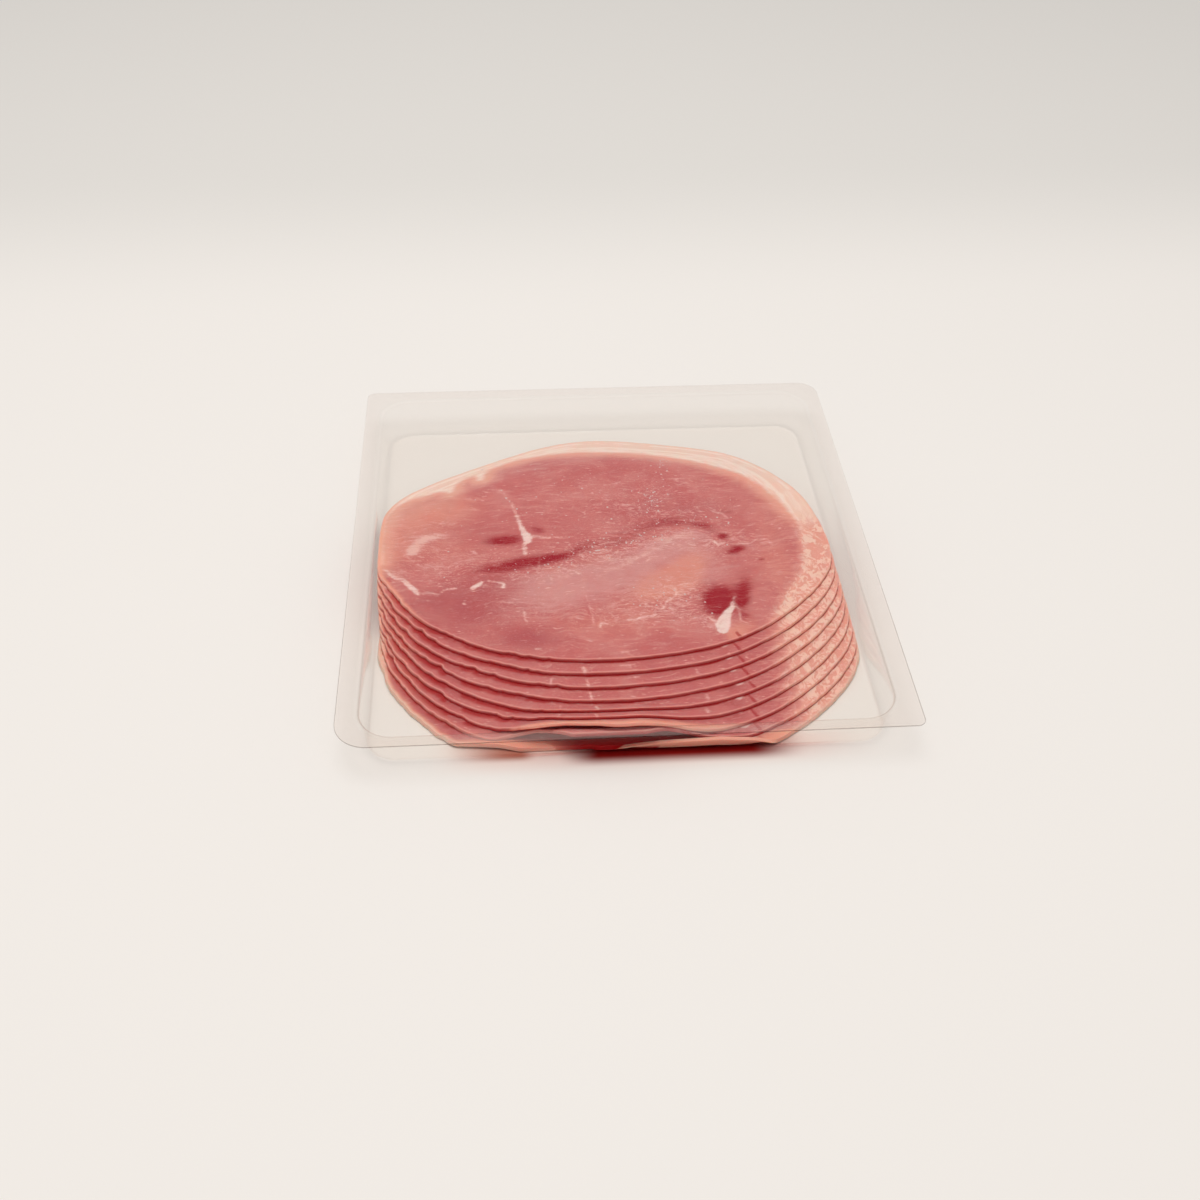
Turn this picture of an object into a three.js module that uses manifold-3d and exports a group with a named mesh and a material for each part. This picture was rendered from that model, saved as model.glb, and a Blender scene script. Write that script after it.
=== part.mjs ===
// A sealed pack of sliced cooked ham: a clear thermoformed tray, its flat lidding film and nine
// shingled slices. Millimetres, +Z up, -Y is the front of the pack, and the origin lies under the
// middle of the tray, on the surface that the pack rests on.
import * as THREE from "three";
import { mergeVertices } from "three/addons/utils/BufferGeometryUtils.js";
import Module from "manifold-3d";

const wasm = await Module();
wasm.setup();

// ---- Driving dimensions -------------------------------------------------------------------

// The tray
const TRAY_WIDTH = 190;
const TRAY_LENGTH = 203;
const TRAY_HEIGHT = 15;
const WALL = 0.6;
const SIDE_FLANGE = 7.8;
const FRONT_FLANGE = 5;
const END_DRAFT = 2.6; // how far the front and back walls lean in from the rim to the base
const SIDE_DRAFT = 1.2;
const FLANGE_RADII = { frontLeft: 11, frontRight: 3, backRight: 8, backLeft: 3.5 };
const RIM_RADIUS = 11;
const BASE_FILLET = 2;
const CORNER_STEPS = 7;
const FILLET_STEPS = 3;

// The lidding film
const FILM_THICKNESS = 0.2;
const FIT_GAP = 0.3; // left between touching pieces

// The slices
const SLICES = 9;
const SLICE_THICKNESS = 1.2;
const SLICE_PITCH = SLICE_THICKNESS + FIT_GAP;
const STEP_FORWARD = 4.95; // how far each slice lies in front of the one above it
const STEP_RIGHT = 0.5;
const OUTLINE_STEPS = 56;

// The top slice's outline seen from above, from the middle of the front edge round to the right
const SLICE_OUTLINE = [
  [4, -63.8], [40, -56], [67, -36.5], [80, -17], [80.5, 4], [73, 33.5], [55, 61], [21, 72],
  [-10, 74.8], [-45, 60.7], [-79, 38], [-87, 14], [-85.5, -14], [-65, -45], [-33, -61.2],
];

// A slice stays on the slices below it until this far past their edges, then sinks over DRAPE_RUN
const DRAPE_START = 10;
const DRAPE_RUN = 12;

// The lower slices' front edges are pressed against the front wall, and all but the lowest
// buckle up there into one hump over a dark hollow
const HUMP_HEIGHT = 9.5;
const HUMP_CENTRE = -15;
const HUMP_HALF_WIDTH = 34;
const HUMP_FOOT = -75; // the hump starts to rise here, and is highest at the front wall
const HUMP_POWER = 1.6;
const HUMP_SETBACK = 2.2; // the humped edges stay this far behind the front wall

// The lowest slice's front edge curls up the wall
const CURL_HEIGHT = 5;
const CURL_RUN = 6;
const CURL_CENTRE = 30;
const CURL_HALF_WIDTH = 61;

// Spacing of the slices' surface grid
const GRID_X = 12.6;
const GRID_FRONT = 3.6;
const GRID_MIDDLE = 17;
const GRID_BACK = 8.5;

// Values worked out from those above
const HALF_WIDTH = TRAY_WIDTH / 2;
const HALF_LENGTH = TRAY_LENGTH / 2;
const FLOOR = WALL;
const FRONT_WALL = -HALF_LENGTH + FRONT_FLANGE + END_DRAFT;
const BACK_OF_FRONT_ZONE = HUMP_FOOT + GRID_FRONT;
const FRONT_OF_BACK_ZONE = 24;
const CUT_MARGIN = 1; // how far a cutting prism reaches past the tray's height
const MERGE_DISTANCE = 1e-4;

// ---- Materials ----------------------------------------------------------------------------

const clearPet = new THREE.MeshStandardMaterial({
  color: "#f3f4f2", roughness: 0.12, metalness: 0, transparent: true, opacity: 0.25,
});
const liddingFilm = new THREE.MeshStandardMaterial({
  color: "#f6f6f4", roughness: 0.08, metalness: 0, transparent: true, opacity: 0.15,
});
const cookedHam = new THREE.MeshStandardMaterial({ color: "#c8696b", roughness: 0.42, metalness: 0 });

// ---- Solids -------------------------------------------------------------------------------

// A geometry from points and triangles, with each face shaded flat.
function geometryOf(points, triangles) {
  const geometry = new THREE.BufferGeometry();
  geometry.setAttribute("position", new THREE.Float32BufferAttribute(points.flat(), 3));
  geometry.setIndex(triangles.flat());
  geometry.computeVertexNormals();
  return geometry;
}

function toManifold(geometry) {
  const bare = geometry.clone();
  bare.deleteAttribute("normal");
  bare.deleteAttribute("uv");
  const merged = mergeVertices(bare, MERGE_DISTANCE);
  return new wasm.Manifold(new wasm.Mesh({
    numProp: 3,
    vertProperties: merged.attributes.position.array,
    triVerts: new Uint32Array(merged.index.array),
  }));
}

function fromManifold(solid) {
  const mesh = solid.getMesh();
  const geometry = new THREE.BufferGeometry();
  geometry.setAttribute("position", new THREE.BufferAttribute(mesh.vertProperties, 3));
  geometry.setIndex(new THREE.BufferAttribute(mesh.triVerts, 1));
  geometry.computeVertexNormals();
  return geometry;
}

// A closed skin over rings of equally many points, each ring anticlockwise from above. The first
// and the last ring are closed by a fan round their middle, and the first one faces down.
function loft(rings) {
  const count = rings[0].length;
  const points = rings.flat();
  const triangles = [];
  for (let r = 0; r + 1 < rings.length; r++) {
    for (let i = 0; i < count; i++) {
      const a = r * count + i;
      const b = r * count + (i + 1) % count;
      triangles.push([a, b, b + count], [a, b + count, a + count]);
    }
  }
  const middle = (ring) => [0, 1, 2].map((axis) => ring.reduce((sum, p) => sum + p[axis], 0) / count);
  const first = points.push(middle(rings[0])) - 1;
  const last = points.push(middle(rings.at(-1))) - 1;
  const start = (rings.length - 1) * count;
  for (let i = 0; i < count; i++) {
    const next = (i + 1) % count;
    triangles.push([first, next, i], [last, start + i, start + next]);
  }
  return geometryOf(points, triangles);
}

// A level ring with rounded corners, anticlockwise from the front left corner.
function roundedRing({ left, right, front, back, radii }, z) {
  const { frontLeft, frontRight, backRight, backLeft } = radii;
  const corners = [
    [left + frontLeft, front + frontLeft, frontLeft, Math.PI],
    [right - frontRight, front + frontRight, frontRight, 1.5 * Math.PI],
    [right - backRight, back - backRight, backRight, 0],
    [left + backLeft, back - backLeft, backLeft, 0.5 * Math.PI],
  ];
  const ring = [];
  for (const [x, y, radius, start] of corners) {
    for (let i = 0; i <= CORNER_STEPS; i++) {
      const angle = start + 0.5 * Math.PI * i / CORNER_STEPS;
      ring.push([x + radius * Math.cos(angle), y + radius * Math.sin(angle), z]);
    }
  }
  return ring;
}

// ---- The tray and its film ----------------------------------------------------------------

const flangeOutline = {
  left: -HALF_WIDTH, right: HALF_WIDTH, front: -HALF_LENGTH, back: HALF_LENGTH, radii: FLANGE_RADII,
};

// The cavity's outline where its walls stand at height z, moved inwards by inset.
function cavityOutline(z, inset) {
  const depth = (TRAY_HEIGHT - z) / TRAY_HEIGHT;
  const side = SIDE_DRAFT * depth + inset;
  const end = END_DRAFT * depth + inset;
  const radius = RIM_RADIUS - side;
  return {
    left: -HALF_WIDTH + SIDE_FLANGE + side,
    right: HALF_WIDTH - SIDE_FLANGE - side,
    front: -HALF_LENGTH + FRONT_FLANGE + end,
    back: HALF_LENGTH - SIDE_FLANGE - end,
    radii: { frontLeft: radius, frontRight: radius, backRight: radius, backLeft: radius },
  };
}

// The rings of the cavity's skin from the base up to the rim. offset moves the skin into the
// cavity, or out of it where it is negative, and level is the height of its base.
function cavityRings(offset, level, top) {
  const fillet = BASE_FILLET - offset;
  const rings = [];
  for (let i = 0; i <= FILLET_STEPS; i++) {
    const angle = 0.5 * Math.PI * i / FILLET_STEPS;
    const inset = offset + fillet * (1 - Math.sin(angle));
    const z = level + fillet * (1 - Math.cos(angle));
    rings.push(roundedRing(cavityOutline(level + fillet, inset), z));
  }
  rings.push(roundedRing(cavityOutline(top, offset), top));
  return rings;
}

function makeTray() {
  const outside = cavityRings(-WALL, 0, TRAY_HEIGHT - WALL);
  const flange = [
    roundedRing(flangeOutline, TRAY_HEIGHT - WALL),
    roundedRing(flangeOutline, TRAY_HEIGHT),
  ];
  const inside = cavityRings(0, FLOOR, TRAY_HEIGHT).reverse();
  return loft([...outside, ...flange, ...inside]);
}

function makeFilm() {
  const bottom = TRAY_HEIGHT + FIT_GAP;
  return loft([roundedRing(flangeOutline, bottom), roundedRing(flangeOutline, bottom + FILM_THICKNESS)]);
}

// ---- The slices ---------------------------------------------------------------------------

const outlineCurve = new THREE.CatmullRomCurve3(
  SLICE_OUTLINE.map(([x, y]) => new THREE.Vector3(x, y, 0)), true, "centripetal",
);
const outline = outlineCurve.getSpacedPoints(OUTLINE_STEPS).slice(0, OUTLINE_STEPS);
const polarOutline = outline
  .map((p) => ({ angle: Math.atan2(p.y, p.x), radius: Math.hypot(p.x, p.y) }))
  .sort((a, b) => a.angle - b.angle);

// How far the slice's edge is from its middle in one direction.
function edgeRadius(angle) {
  const after = polarOutline.findIndex((p) => p.angle > angle);
  const next = polarOutline[after < 0 ? 0 : after];
  const last = polarOutline.at(after < 0 ? -1 : after - 1);
  const turn = 2 * Math.PI;
  const span = (next.angle - last.angle + turn) % turn;
  const part = ((angle - last.angle + turn) % turn) / span;
  return THREE.MathUtils.lerp(last.radius, next.radius, part);
}

// 1 on slice k and a little past its edge, and 0 where the slices above it have sunk by its thickness.
function presence(k, x, y) {
  const dx = x - STEP_RIGHT * k;
  const dy = y + STEP_FORWARD * k;
  const past = Math.hypot(dx, dy) - edgeRadius(Math.atan2(dy, dx));
  return 1 - THREE.MathUtils.smoothstep(past, DRAPE_START, DRAPE_START + DRAPE_RUN);
}

// A smooth bump over the width of the tray, 1 in its middle.
function bump(x, centre, halfWidth) {
  const part = THREE.MathUtils.clamp((x - centre) / halfWidth, -1, 1);
  return Math.cos(0.5 * Math.PI * part) ** 2;
}

function humpLift(x, y) {
  const part = THREE.MathUtils.clamp((HUMP_FOOT - y) / (HUMP_FOOT - FRONT_WALL), 0, 1);
  return HUMP_HEIGHT * bump(x, HUMP_CENTRE, HUMP_HALF_WIDTH) * part ** HUMP_POWER;
}

function curlLift(x, y) {
  const part = THREE.MathUtils.clamp((FRONT_WALL + CURL_RUN - y) / CURL_RUN, 0, 1);
  return CURL_HEIGHT * bump(x, CURL_CENTRE, CURL_HALF_WIDTH) * part ** 2;
}

// The height of slice k's underside. Slice 0 is the top one.
function underside(k, x, y) {
  let z = FLOOR + FIT_GAP;
  for (let below = k + 1; below < SLICES; below++) z += SLICE_PITCH * presence(below, x, y);
  return z + curlLift(x, y) + (k === SLICES - 1 ? 0 : humpLift(x, y));
}

// The lines of the slices' common grid from one place to another, about step apart.
function gridLines(from, to, step) {
  const count = Math.ceil((to - from) / step);
  return Array.from({ length: count }, (_, i) => from + (to - from) * i / count);
}

const gridX = [...gridLines(-HALF_WIDTH, HALF_WIDTH, GRID_X), HALF_WIDTH];
const gridY = [
  ...gridLines(-HALF_LENGTH, BACK_OF_FRONT_ZONE, GRID_FRONT),
  ...gridLines(BACK_OF_FRONT_ZONE, FRONT_OF_BACK_ZONE, GRID_MIDDLE),
  ...gridLines(FRONT_OF_BACK_ZONE, HALF_LENGTH, GRID_BACK),
  HALF_LENGTH,
];

// A sheet over the whole tray as thick as slice k. All sheets share one grid, so two of them that
// keep their distance at its corners keep it everywhere.
function sheet(k) {
  const columns = gridX.length;
  const face = columns * gridY.length;
  const points = [];
  for (const thickness of [0, SLICE_THICKNESS]) {
    for (const y of gridY) {
      for (const x of gridX) points.push([x, y, underside(k, x, y) + thickness]);
    }
  }
  const triangles = [];
  for (let j = 0; j + 1 < gridY.length; j++) {
    for (let i = 0; i + 1 < columns; i++) {
      const a = j * columns + i;
      const [b, c, d] = [a + 1, a + columns + 1, a + columns];
      triangles.push([a, c, b], [a, d, c]);
      triangles.push([a + face, b + face, c + face], [a + face, c + face, d + face]);
    }
  }
  const rim = [
    ...gridX.map((_, i) => i),
    ...gridY.slice(1).map((_, j) => (j + 1) * columns + columns - 1),
    ...gridX.slice(1).map((_, i) => face - 2 - i),
    ...gridY.slice(2).map((_, j) => (gridY.length - 2 - j) * columns),
  ];
  rim.forEach((a, i) => {
    const b = rim[(i + 1) % rim.length];
    triangles.push([a, b, b + face], [a, b + face, a + face]);
  });
  return toManifold(geometryOf(points, triangles));
}

// The upright prism over slice k's outline, and for the humped slices only behind their setback.
function prism(k) {
  const touchesWall = k === SLICES - 1;
  const frontLimit = touchesWall ? -HALF_LENGTH : FRONT_WALL + HUMP_SETBACK;
  const ring = outline.map((p) => [
    p.x + STEP_RIGHT * k,
    Math.max(p.y - STEP_FORWARD * k, frontLimit),
  ]);
  const levels = [-CUT_MARGIN, TRAY_HEIGHT + CUT_MARGIN];
  return toManifold(loft(levels.map((z) => ring.map(([x, y]) => [x, y, z]))));
}

const cavity = toManifold(loft(cavityRings(FIT_GAP, FLOOR + FIT_GAP / 2, TRAY_HEIGHT)));

function makeSlice(k) {
  return fromManifold(sheet(k).intersect(prism(k)).intersect(cavity));
}

// ---- The pack -----------------------------------------------------------------------------

const pack = new THREE.Group();

function addPiece(name, geometry, material) {
  const mesh = new THREE.Mesh(geometry, material);
  mesh.name = name;
  pack.add(mesh);
}

addPiece("tray", makeTray(), clearPet);
addPiece("lid_film", makeFilm(), liddingFilm);
for (let k = 0; k < SLICES; k++) {
  addPiece(`slice_${String(k + 1).padStart(2, "0")}`, makeSlice(k), cookedHam);
}

export default pack;
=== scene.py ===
"""A sealed pack of sliced cooked ham: a clear thermoformed tray, its lidding film and nine
shingled slices, on a pale studio floor. Lengths in the code are millimetres unless a name or a
property says otherwise, and MM turns them to Blender's metres."""

import math

import bpy
import numpy as np
from bpy.props import FloatProperty, FloatVectorProperty, IntProperty, PointerProperty
from mathutils import Matrix


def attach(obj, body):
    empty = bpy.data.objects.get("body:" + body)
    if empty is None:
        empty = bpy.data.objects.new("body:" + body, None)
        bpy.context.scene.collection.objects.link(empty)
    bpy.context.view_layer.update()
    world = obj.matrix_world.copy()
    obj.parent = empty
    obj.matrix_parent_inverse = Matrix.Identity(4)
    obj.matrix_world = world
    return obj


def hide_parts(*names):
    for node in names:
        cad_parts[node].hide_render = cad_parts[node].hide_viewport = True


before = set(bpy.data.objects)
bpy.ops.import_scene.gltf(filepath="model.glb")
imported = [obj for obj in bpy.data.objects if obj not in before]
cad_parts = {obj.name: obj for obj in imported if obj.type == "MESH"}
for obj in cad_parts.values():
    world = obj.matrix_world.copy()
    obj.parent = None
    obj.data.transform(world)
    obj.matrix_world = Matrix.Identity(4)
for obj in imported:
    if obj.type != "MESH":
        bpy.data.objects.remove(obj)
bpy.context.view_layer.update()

bl_info = {
    "name": "Sliced Cooked Ham Pack",
    "version": (1, 0, 0),
    "blender": (4, 5, 0),
    "location": "View3D > Sidebar > Ham Pack",
    "description": "Builds a sealed tray of shingled ham slices and its studio stage",
    "category": "Object",
}

MM = 0.001
SHARP_ANGLE = math.radians(38)

# ---- The tray's form: the CAD's, with a thinner sheet and film and a sharper base edge -------

TRAY_WIDTH = 190.0
TRAY_LENGTH = 203.0
TRAY_HEIGHT = 15.0
WALL = 0.3
FILM_GAP = 0.02  # between the flange and the film
FILM = 0.12
SIDE_FLANGE = 7.8
FRONT_FLANGE = 5.0
END_DRAFT = 2.6
SIDE_DRAFT = 1.2
RIM_RADIUS = 11.0
BASE_FILLET = 1.2
FLANGE_RADII = (11.0, 3.0, 8.0, 3.5)  # front left, front right, back right, back left
PAPER_REACH = 2600.0
PAPER_GAP = 0.03  # keeps the paper from lying in one plane with the tray
CORNER_STEPS = 14
SIDE_STEPS = 22
FILLET_STEPS = 6
RIM_INSIDE = 1.4  # how far the cavity's rim is rounded
RIM_OUTSIDE = 0.9
FILM_RIM = 0.4  # how far outside the cavity the weld starts
FLOOR_SHARES = (0.97, 0.9, 0.75, 0.55, 0.35, 0.15)
FILM_SHARES = (0.12, 0.25, 0.4, 0.52, 0.64, 0.74, 0.82, 0.88, 0.92)

# ---- The slices' form, after the CAD's -------------------------------------------------------

SLICES = 9
SLICE_OUTLINE = [
    (4, -63.8), (40, -56), (67, -36.5), (80, -17), (80.5, 4), (73, 33.5), (55, 61), (21, 72),
    (-10, 74.8), (-45, 60.7), (-79, 38), (-87, 14), (-85.5, -14), (-65, -45), (-33, -61.2),
]
OUTLINE_SPAN = 0.1  # metres that the outline curve's value 1 stands for
PLAN_SPAN = 200  # how many millimetres the slice UV map's 1 stands for
TOP_RINGS = 125
RINGS = 90
WALL_CLEARANCE = 0.3
TOP_INSET = 0.45  # how far inside the edge the upper grid ends
BED_GAP = 0.06  # between the tray's floor and the lowest slice
SOFT_CUT = 200  # how sharply a wall cuts a slice's edge short

# How far up the front wall the lowest slice reaches, as (x, height). Below 0 it ends before it.
LOWEST_FRONT = [
    (-60, -3.2), (-49, -2.3), (-42.5, -1.5), (-36, 0), (-12, 0), (-5, 1.0), (2, 2.4), (10, 3.5),
    (30, 4.3), (42, 3), (54, 1), (62, 0), (70, -1),
]
# Where the front edges of the slices on it end, as (x, y)
UPPER_FRONT = [
    (-60, -93.7), (-33, -93.7), (-27, -92.7), (-21, -91.5), (-10, -93.4), (-1.5, -95.3), (5, -95),
    (11, -93.6), (16, -92.6), (62, -92.6), (75, -93.6),
]
# The same for the slice next to the lowest
NEXT_FRONT = [
    (-50, -90), (-40, -88.5), (-31, -88.5), (-27, -90.5), (-23, -93), (-19, -94.5), (5, -94.5),
    (12, -93), (18, -92.1), (70, -92.1),
]
BEND_RADIUS = 1.55
BEND_START = -92.5
BEND_TURN = math.radians(80)

# The hump at the front wall, in places across the tray: its left foot, how wide it rises there,
# its right foot, how wide it rises there, and its share of the full height
HUMP = (-50, 26, 34, 32, 1.0)
HUMP_OF = {SLICES - 1: (-50, 26, 34, 32, 0.0), SLICES - 2: (-46, 24, 30, 22, 0.82)}
HUMP_FOOT = -80.5  # where along the tray it starts to rise
HUMP_CREST = -93

# A slice's edge from its top corner down to its underside: (inset, share of the thickness,
# level above or below that, how far it is cut face, where painted shade makes it dark red)
EDGE = (
    (0.3, 1, -0.02, 0), (0.18, 1, -0.12, 0.1), (0.1, 0.7, 0, 0.6), (0.03, 0.3, 0, 0.9),
    (0, 0, 0.05, 1), (0.3, 0, 0, 1),
)
WEDGE_EDGE = (
    (0.42, 1, -0.04, 0), (0.4, 1, -0.14, 0), (0.3, 0.7, 0, 0.5), (0.16, 0.35, 0, 1),
    (0, 0, 0.03, 1), (0.3, 0, 0, 1),
)

# Juice drops on the top slice
DROP_DENSITY = 900000.0  # how many a square metre where it is wettest
DROP_RADII = (0.1, 0.42)
DROP_FLATNESS = 0.45
FACING_UP = 0.6

# ---- What the ham shows, in each slice's own plan from the middle of its outline -------------

# The edge of the meat. Outside it lies the fat, and where it leaves the slice there is none.
MEAT_EDGE = [
    (0, -76), (30, -72), (45, -62), (51, -53), (55, -47), (58.5, -40), (62, -33), (66.5, -26),
    (69.5, -19), (71.5, -10), (72.3, -2), (71.8, 6), (69.8, 14), (66, 23), (60.5, 32.5),
    (55, 38.5), (49, 43.5), (40, 50), (30, 55), (20, 58), (10, 60), (0, 61.5), (-10, 62.4),
    (-20, 62.4), (-30, 61.2), (-38, 58.2), (-44, 54.5), (-46.8, 50), (-47.6, 44), (-48.8, 44),
    (-50, 49.5), (-53.5, 48.6), (-57, 45), (-58.8, 40), (-60, 35), (-61.2, 37), (-65, 38.4),
    (-70, 37), (-76, 35), (-81, 30), (-84, 23), (-84.8, 12), (-84.8, 0), (-84.4, -10),
    (-92, -20), (-92, -60), (-40, -80),
]

# White connective tissue: strands of (strength, [(across, along, half width), ...])
SINEWS = [
    (0.3, [(-47.5, 47, 1.0), (-47, 42, 0.8), (-45, 36.5, 1.2), (-41, 32.4, 1.4), (-38, 29, 0.6)]),
    (0.8, [(-39, 30, 0.1), (-36.1, 23.4, 0.3), (-34.5, 16.6, 0.5), (-33.3, 11.1, 0.8)]),
    (1.0, [(-33.3, 11.1, 0.7), (-32.2, 6.7, 1.1), (-30.8, 3, 1.7), (-30.6, 0.8, 1.4)]),
    (0.75, [(-30.6, 1.5, 1.2), (-32, -2.2, 0.8), (-31.7, -6.6, 0.7)]),
    (0.55, [(-30, 3, 1.2), (-27, 3.4, 0.5), (-22.6, 1.9, 0.3), (-16.5, 2.9, 0.2)]),
    (0.75, [(-82.5, -13.6, 0.4), (-79, -18.2, 0.7), (-75.8, -19.4, 0.8), (-73.8, -22.4, 1.1)]),
    (0.9, [(-74.4, -21.6, 0.9), (-71.4, -25.4, 1.0), (-70.4, -27.4, 0.7)]),
    (0.5, [(-70.8, -27.2, 0.8), (-67, -27, 0.5), (-63.5, -28.2, 0.5), (-60.5, -25.6, 0.5)]),
    (0.8, [(-61, -25.7, 0.3), (-56.9, -25, 0.4)]),
    (0.9, [(-50.9, -25.2, 0.9), (-48.8, -23.2, 0.8), (-47.6, -22, 0.4)]),
    (0.7, [(-45.4, -21.4, 0.3), (-42.2, -22.4, 0.3), (-39.7, -23.3, 0.5)]),
    (0.9, [(-41.6, -22.4, 0.2), (-39.9, -23.4, 0.6), (-40.1, -25.2, 0.5)]),
    (0.4, [(-40, -19.5, 0.2), (-33, -18, 0.3), (-27, -15, 0.2), (-26.6, -8, 0.2)]),
    (0.5, [(-64.3, -12.2, 0.2), (-60.7, -13.2, 0.2)]),
    (0.5, [(-62.8, -7.8, 0.2), (-58.7, -9.6, 0.2)]),
    (0.8, [(-50.8, -4.7, 0.5), (-49.7, -5.8, 0.4)]),
    (1.0, [(40.6, -37.6, 0.4), (40.3, -40, 0.8), (38.6, -42.3, 1.2), (36.8, -46, 2.0),
           (35.7, -49.4, 2.5), (35.4, -51.4, 2.0)]),
    (0.6, [(41.8, -34.6, 0.4), (41.2, -37.6, 0.5), (42.5, -41.5, 0.4), (42.3, -47.5, 0.4)]),
    (0.75, [(30.2, -43.2, 0.1), (32.1, -46, 0.4), (34, -47.6, 0.9)]),
    (0.6, [(30.4, -49.6, 0.4), (32.6, -50.7, 0.8)]),
    (0.95, [(38.4, -2.9, 0.2), (39.8, -5, 0.7), (41.9, -4.2, 0.3)]),
    (0.4, [(43, -3.6, 0.1), (46, -1, 0.2), (50.3, 3.6, 0.25), (56.3, 7.7, 0.25),
           (68.6, 11.5, 0.1)]),
    (0.6, [(42, -4.4, 0.2), (49, -5.2, 0.2), (52.5, -4.5, 0.3), (54.9, -2.2, 0.3),
           (58.8, -2.9, 0.3), (59.5, -5.8, 0.4)]),
    (0.4, [(48, -12, 0.2), (53, -8.6, 0.3), (58, -9.6, 0.3), (61, -13, 0.2)]),
    (0.9, [(3, -44.9, 0.3), (6.3, -44.7, 0.25), (7.4, -43.6, 0.3), (13, -42.8, 0.35)]),
    (0.7, [(17.7, -27.8, 0.2), (21, -28.8, 0.35), (21.7, -31.4, 0.3), (20.5, -33.3, 0.35),
           (17.6, -35.6, 0.35), (15.9, -39.5, 0.5), (12.7, -38.9, 0.2), (9.6, -37.2, 0.2)]),
    (0.55, [(15.9, -39.5, 0.4), (20.4, -39.6, 0.25), (25.4, -38, 0.2)]),
    (0.55, [(-10.8, -31, 0.15), (-10, -36.2, 0.25), (-9.3, -41.1, 0.35), (-9, -46.3, 0.3)]),
    (0.7, [(-33, -38.8, 0.35), (-32.8, -42.4, 0.35), (-32, -44.3, 0.25)]),
    (0.7, [(-6.9, -48, 0.3), (-6.4, -45.8, 0.3), (-4.2, -46.3, 0.25)]),
    (0.4, [(-40.9, -33.2, 0.3), (-36.6, -33.7, 0.3)]),
    (0.5, [(0.8, -56.9, 0.15), (5.3, -56.5, 0.25)]),
    (0.55, [(-0.5, -61.2, 0.15), (4.9, -60, 0.25)]),
    (0.5, [(-29.6, -58, 0.2), (-27.1, -58.8, 0.2)]),
    (0.3, [(31.4, -8.4, 0.2), (30, -14.7, 0.25), (29.4, -22, 0.2)]),
    (0.7, [(-4.2, -2.8, 0.2), (-1, -1.6, 0.25), (2.1, -1.7, 0.2)]),
    (0.6, [(-15.5, -2.3, 0.2), (-13.9, -5.2, 0.2)]),
    (0.6, [(-9.7, -8.5, 0.2), (-7.3, -8.8, 0.2)]),
    (0.8, [(-14.4, -17, 0.15), (-12.6, -19.2, 0.25)]),
    (0.8, [(12.4, -13.2, 0.2), (13.6, -12.1, 0.2)]),
    (0.5, [(-0.2, 33.6, 0.5), (4.8, 34, 0.6)]),
    (0.55, [(3.5, 21.2, 0.5), (8.6, 20.9, 0.3)]),
    (0.45, [(-5, 21.4, 0.3), (-2, 21.6, 0.3)]),
    (0.55, [(40.4, 15.2, 0.25), (44.1, 13.3, 0.5), (45.5, 10.6, 0.3)]),
    (0.4, [(28.7, 35.1, 0.9), (32.8, 33.8, 0.5)]),
    (0.4, [(34, 18.4, 0.6), (35, 18, 0.5)]),
]

# Pale soft tissue without a sharp edge: (across, along, half width, half length, turn, strength)
PALE_TISSUE = [
    (-71, 0, 2.6, 5, -30, 0.6), (-66, 4.4, 6, 1.7, 8, 0.7), (-73.4, -3.6, 2, 3, 0, 0.6),
    (-80, 22, 4, 12, 0, 0.25), (30, 36, 2.4, 1.8, 0, 0.4), (-61, 14, 3.4, 2.2, 0, 0.25),
    (-20, 2.4, 7, 1.6, 8, 0.3), (-58, -9, 4, 0.9, -25, 0.3), (54, -7, 6, 2, 15, 0.3),
    (22, 0.4, 14, 2.4, 18, 0.45), (8, -12, 16, 1.4, 33, 0.5), (35.4, -49, 4, 3.4, 0, 0.5),
    (-79, -17, 5, 2.6, -30, 0.35), (-49, -24, 4, 2.4, 20, 0.35),
]

# Where juice and blood vessels make the meat deep red
DEEP_RED = [
    (-37.8, 1.6, 5.2, 2.8, 4, 1.0), (-43, 0.6, 6, 3, 0, 0.4), (-26.6, 7, 3.4, 1.7, -24, 0.7),
    (-22, -9.8, 7, 2.4, 12, 0.95), (-33.4, -11.6, 8, 3.4, 10, 0.75), (-44.3, -15.2, 9, 3.4, 4, 0.6),
    (-12, -4, 6, 2.6, 30, 0.45), (-0.4, -2.6, 10, 3, 16, 0.5), (12, 5.8, 11, 3.4, 18, 0.5),
    (28, 9, 12, 2.8, -8, 0.5), (37, 5, 5, 2.4, -40, 0.5), (42.2, -0.3, 2.1, 1.6, 10, 1.0),
    (46.6, -7.9, 3.0, 2.2, 10, 1.0), (44, -9.8, 2, 1, 0, 0.6), (37.4, -33.5, 4.6, 6, -8, 1.05),
    (35.4, -40, 3.8, 4.6, 0, 1.0), (31, -35, 4, 7, 0, 0.35), (46.2, -30, 2.8, 7.4, -12, 0.8),
    (43.6, -37, 2.2, 3, -20, 0.7), (43.8, -44.8, 2.4, 2.6, 0, 0.6), (46, 14, 5, 2.4, -30, 0.4),
    (54.6, -14.4, 1.2, 0.9, 0, 0.7), (9.6, 24, 4, 2.4, 0, 0.25),
]

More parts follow.
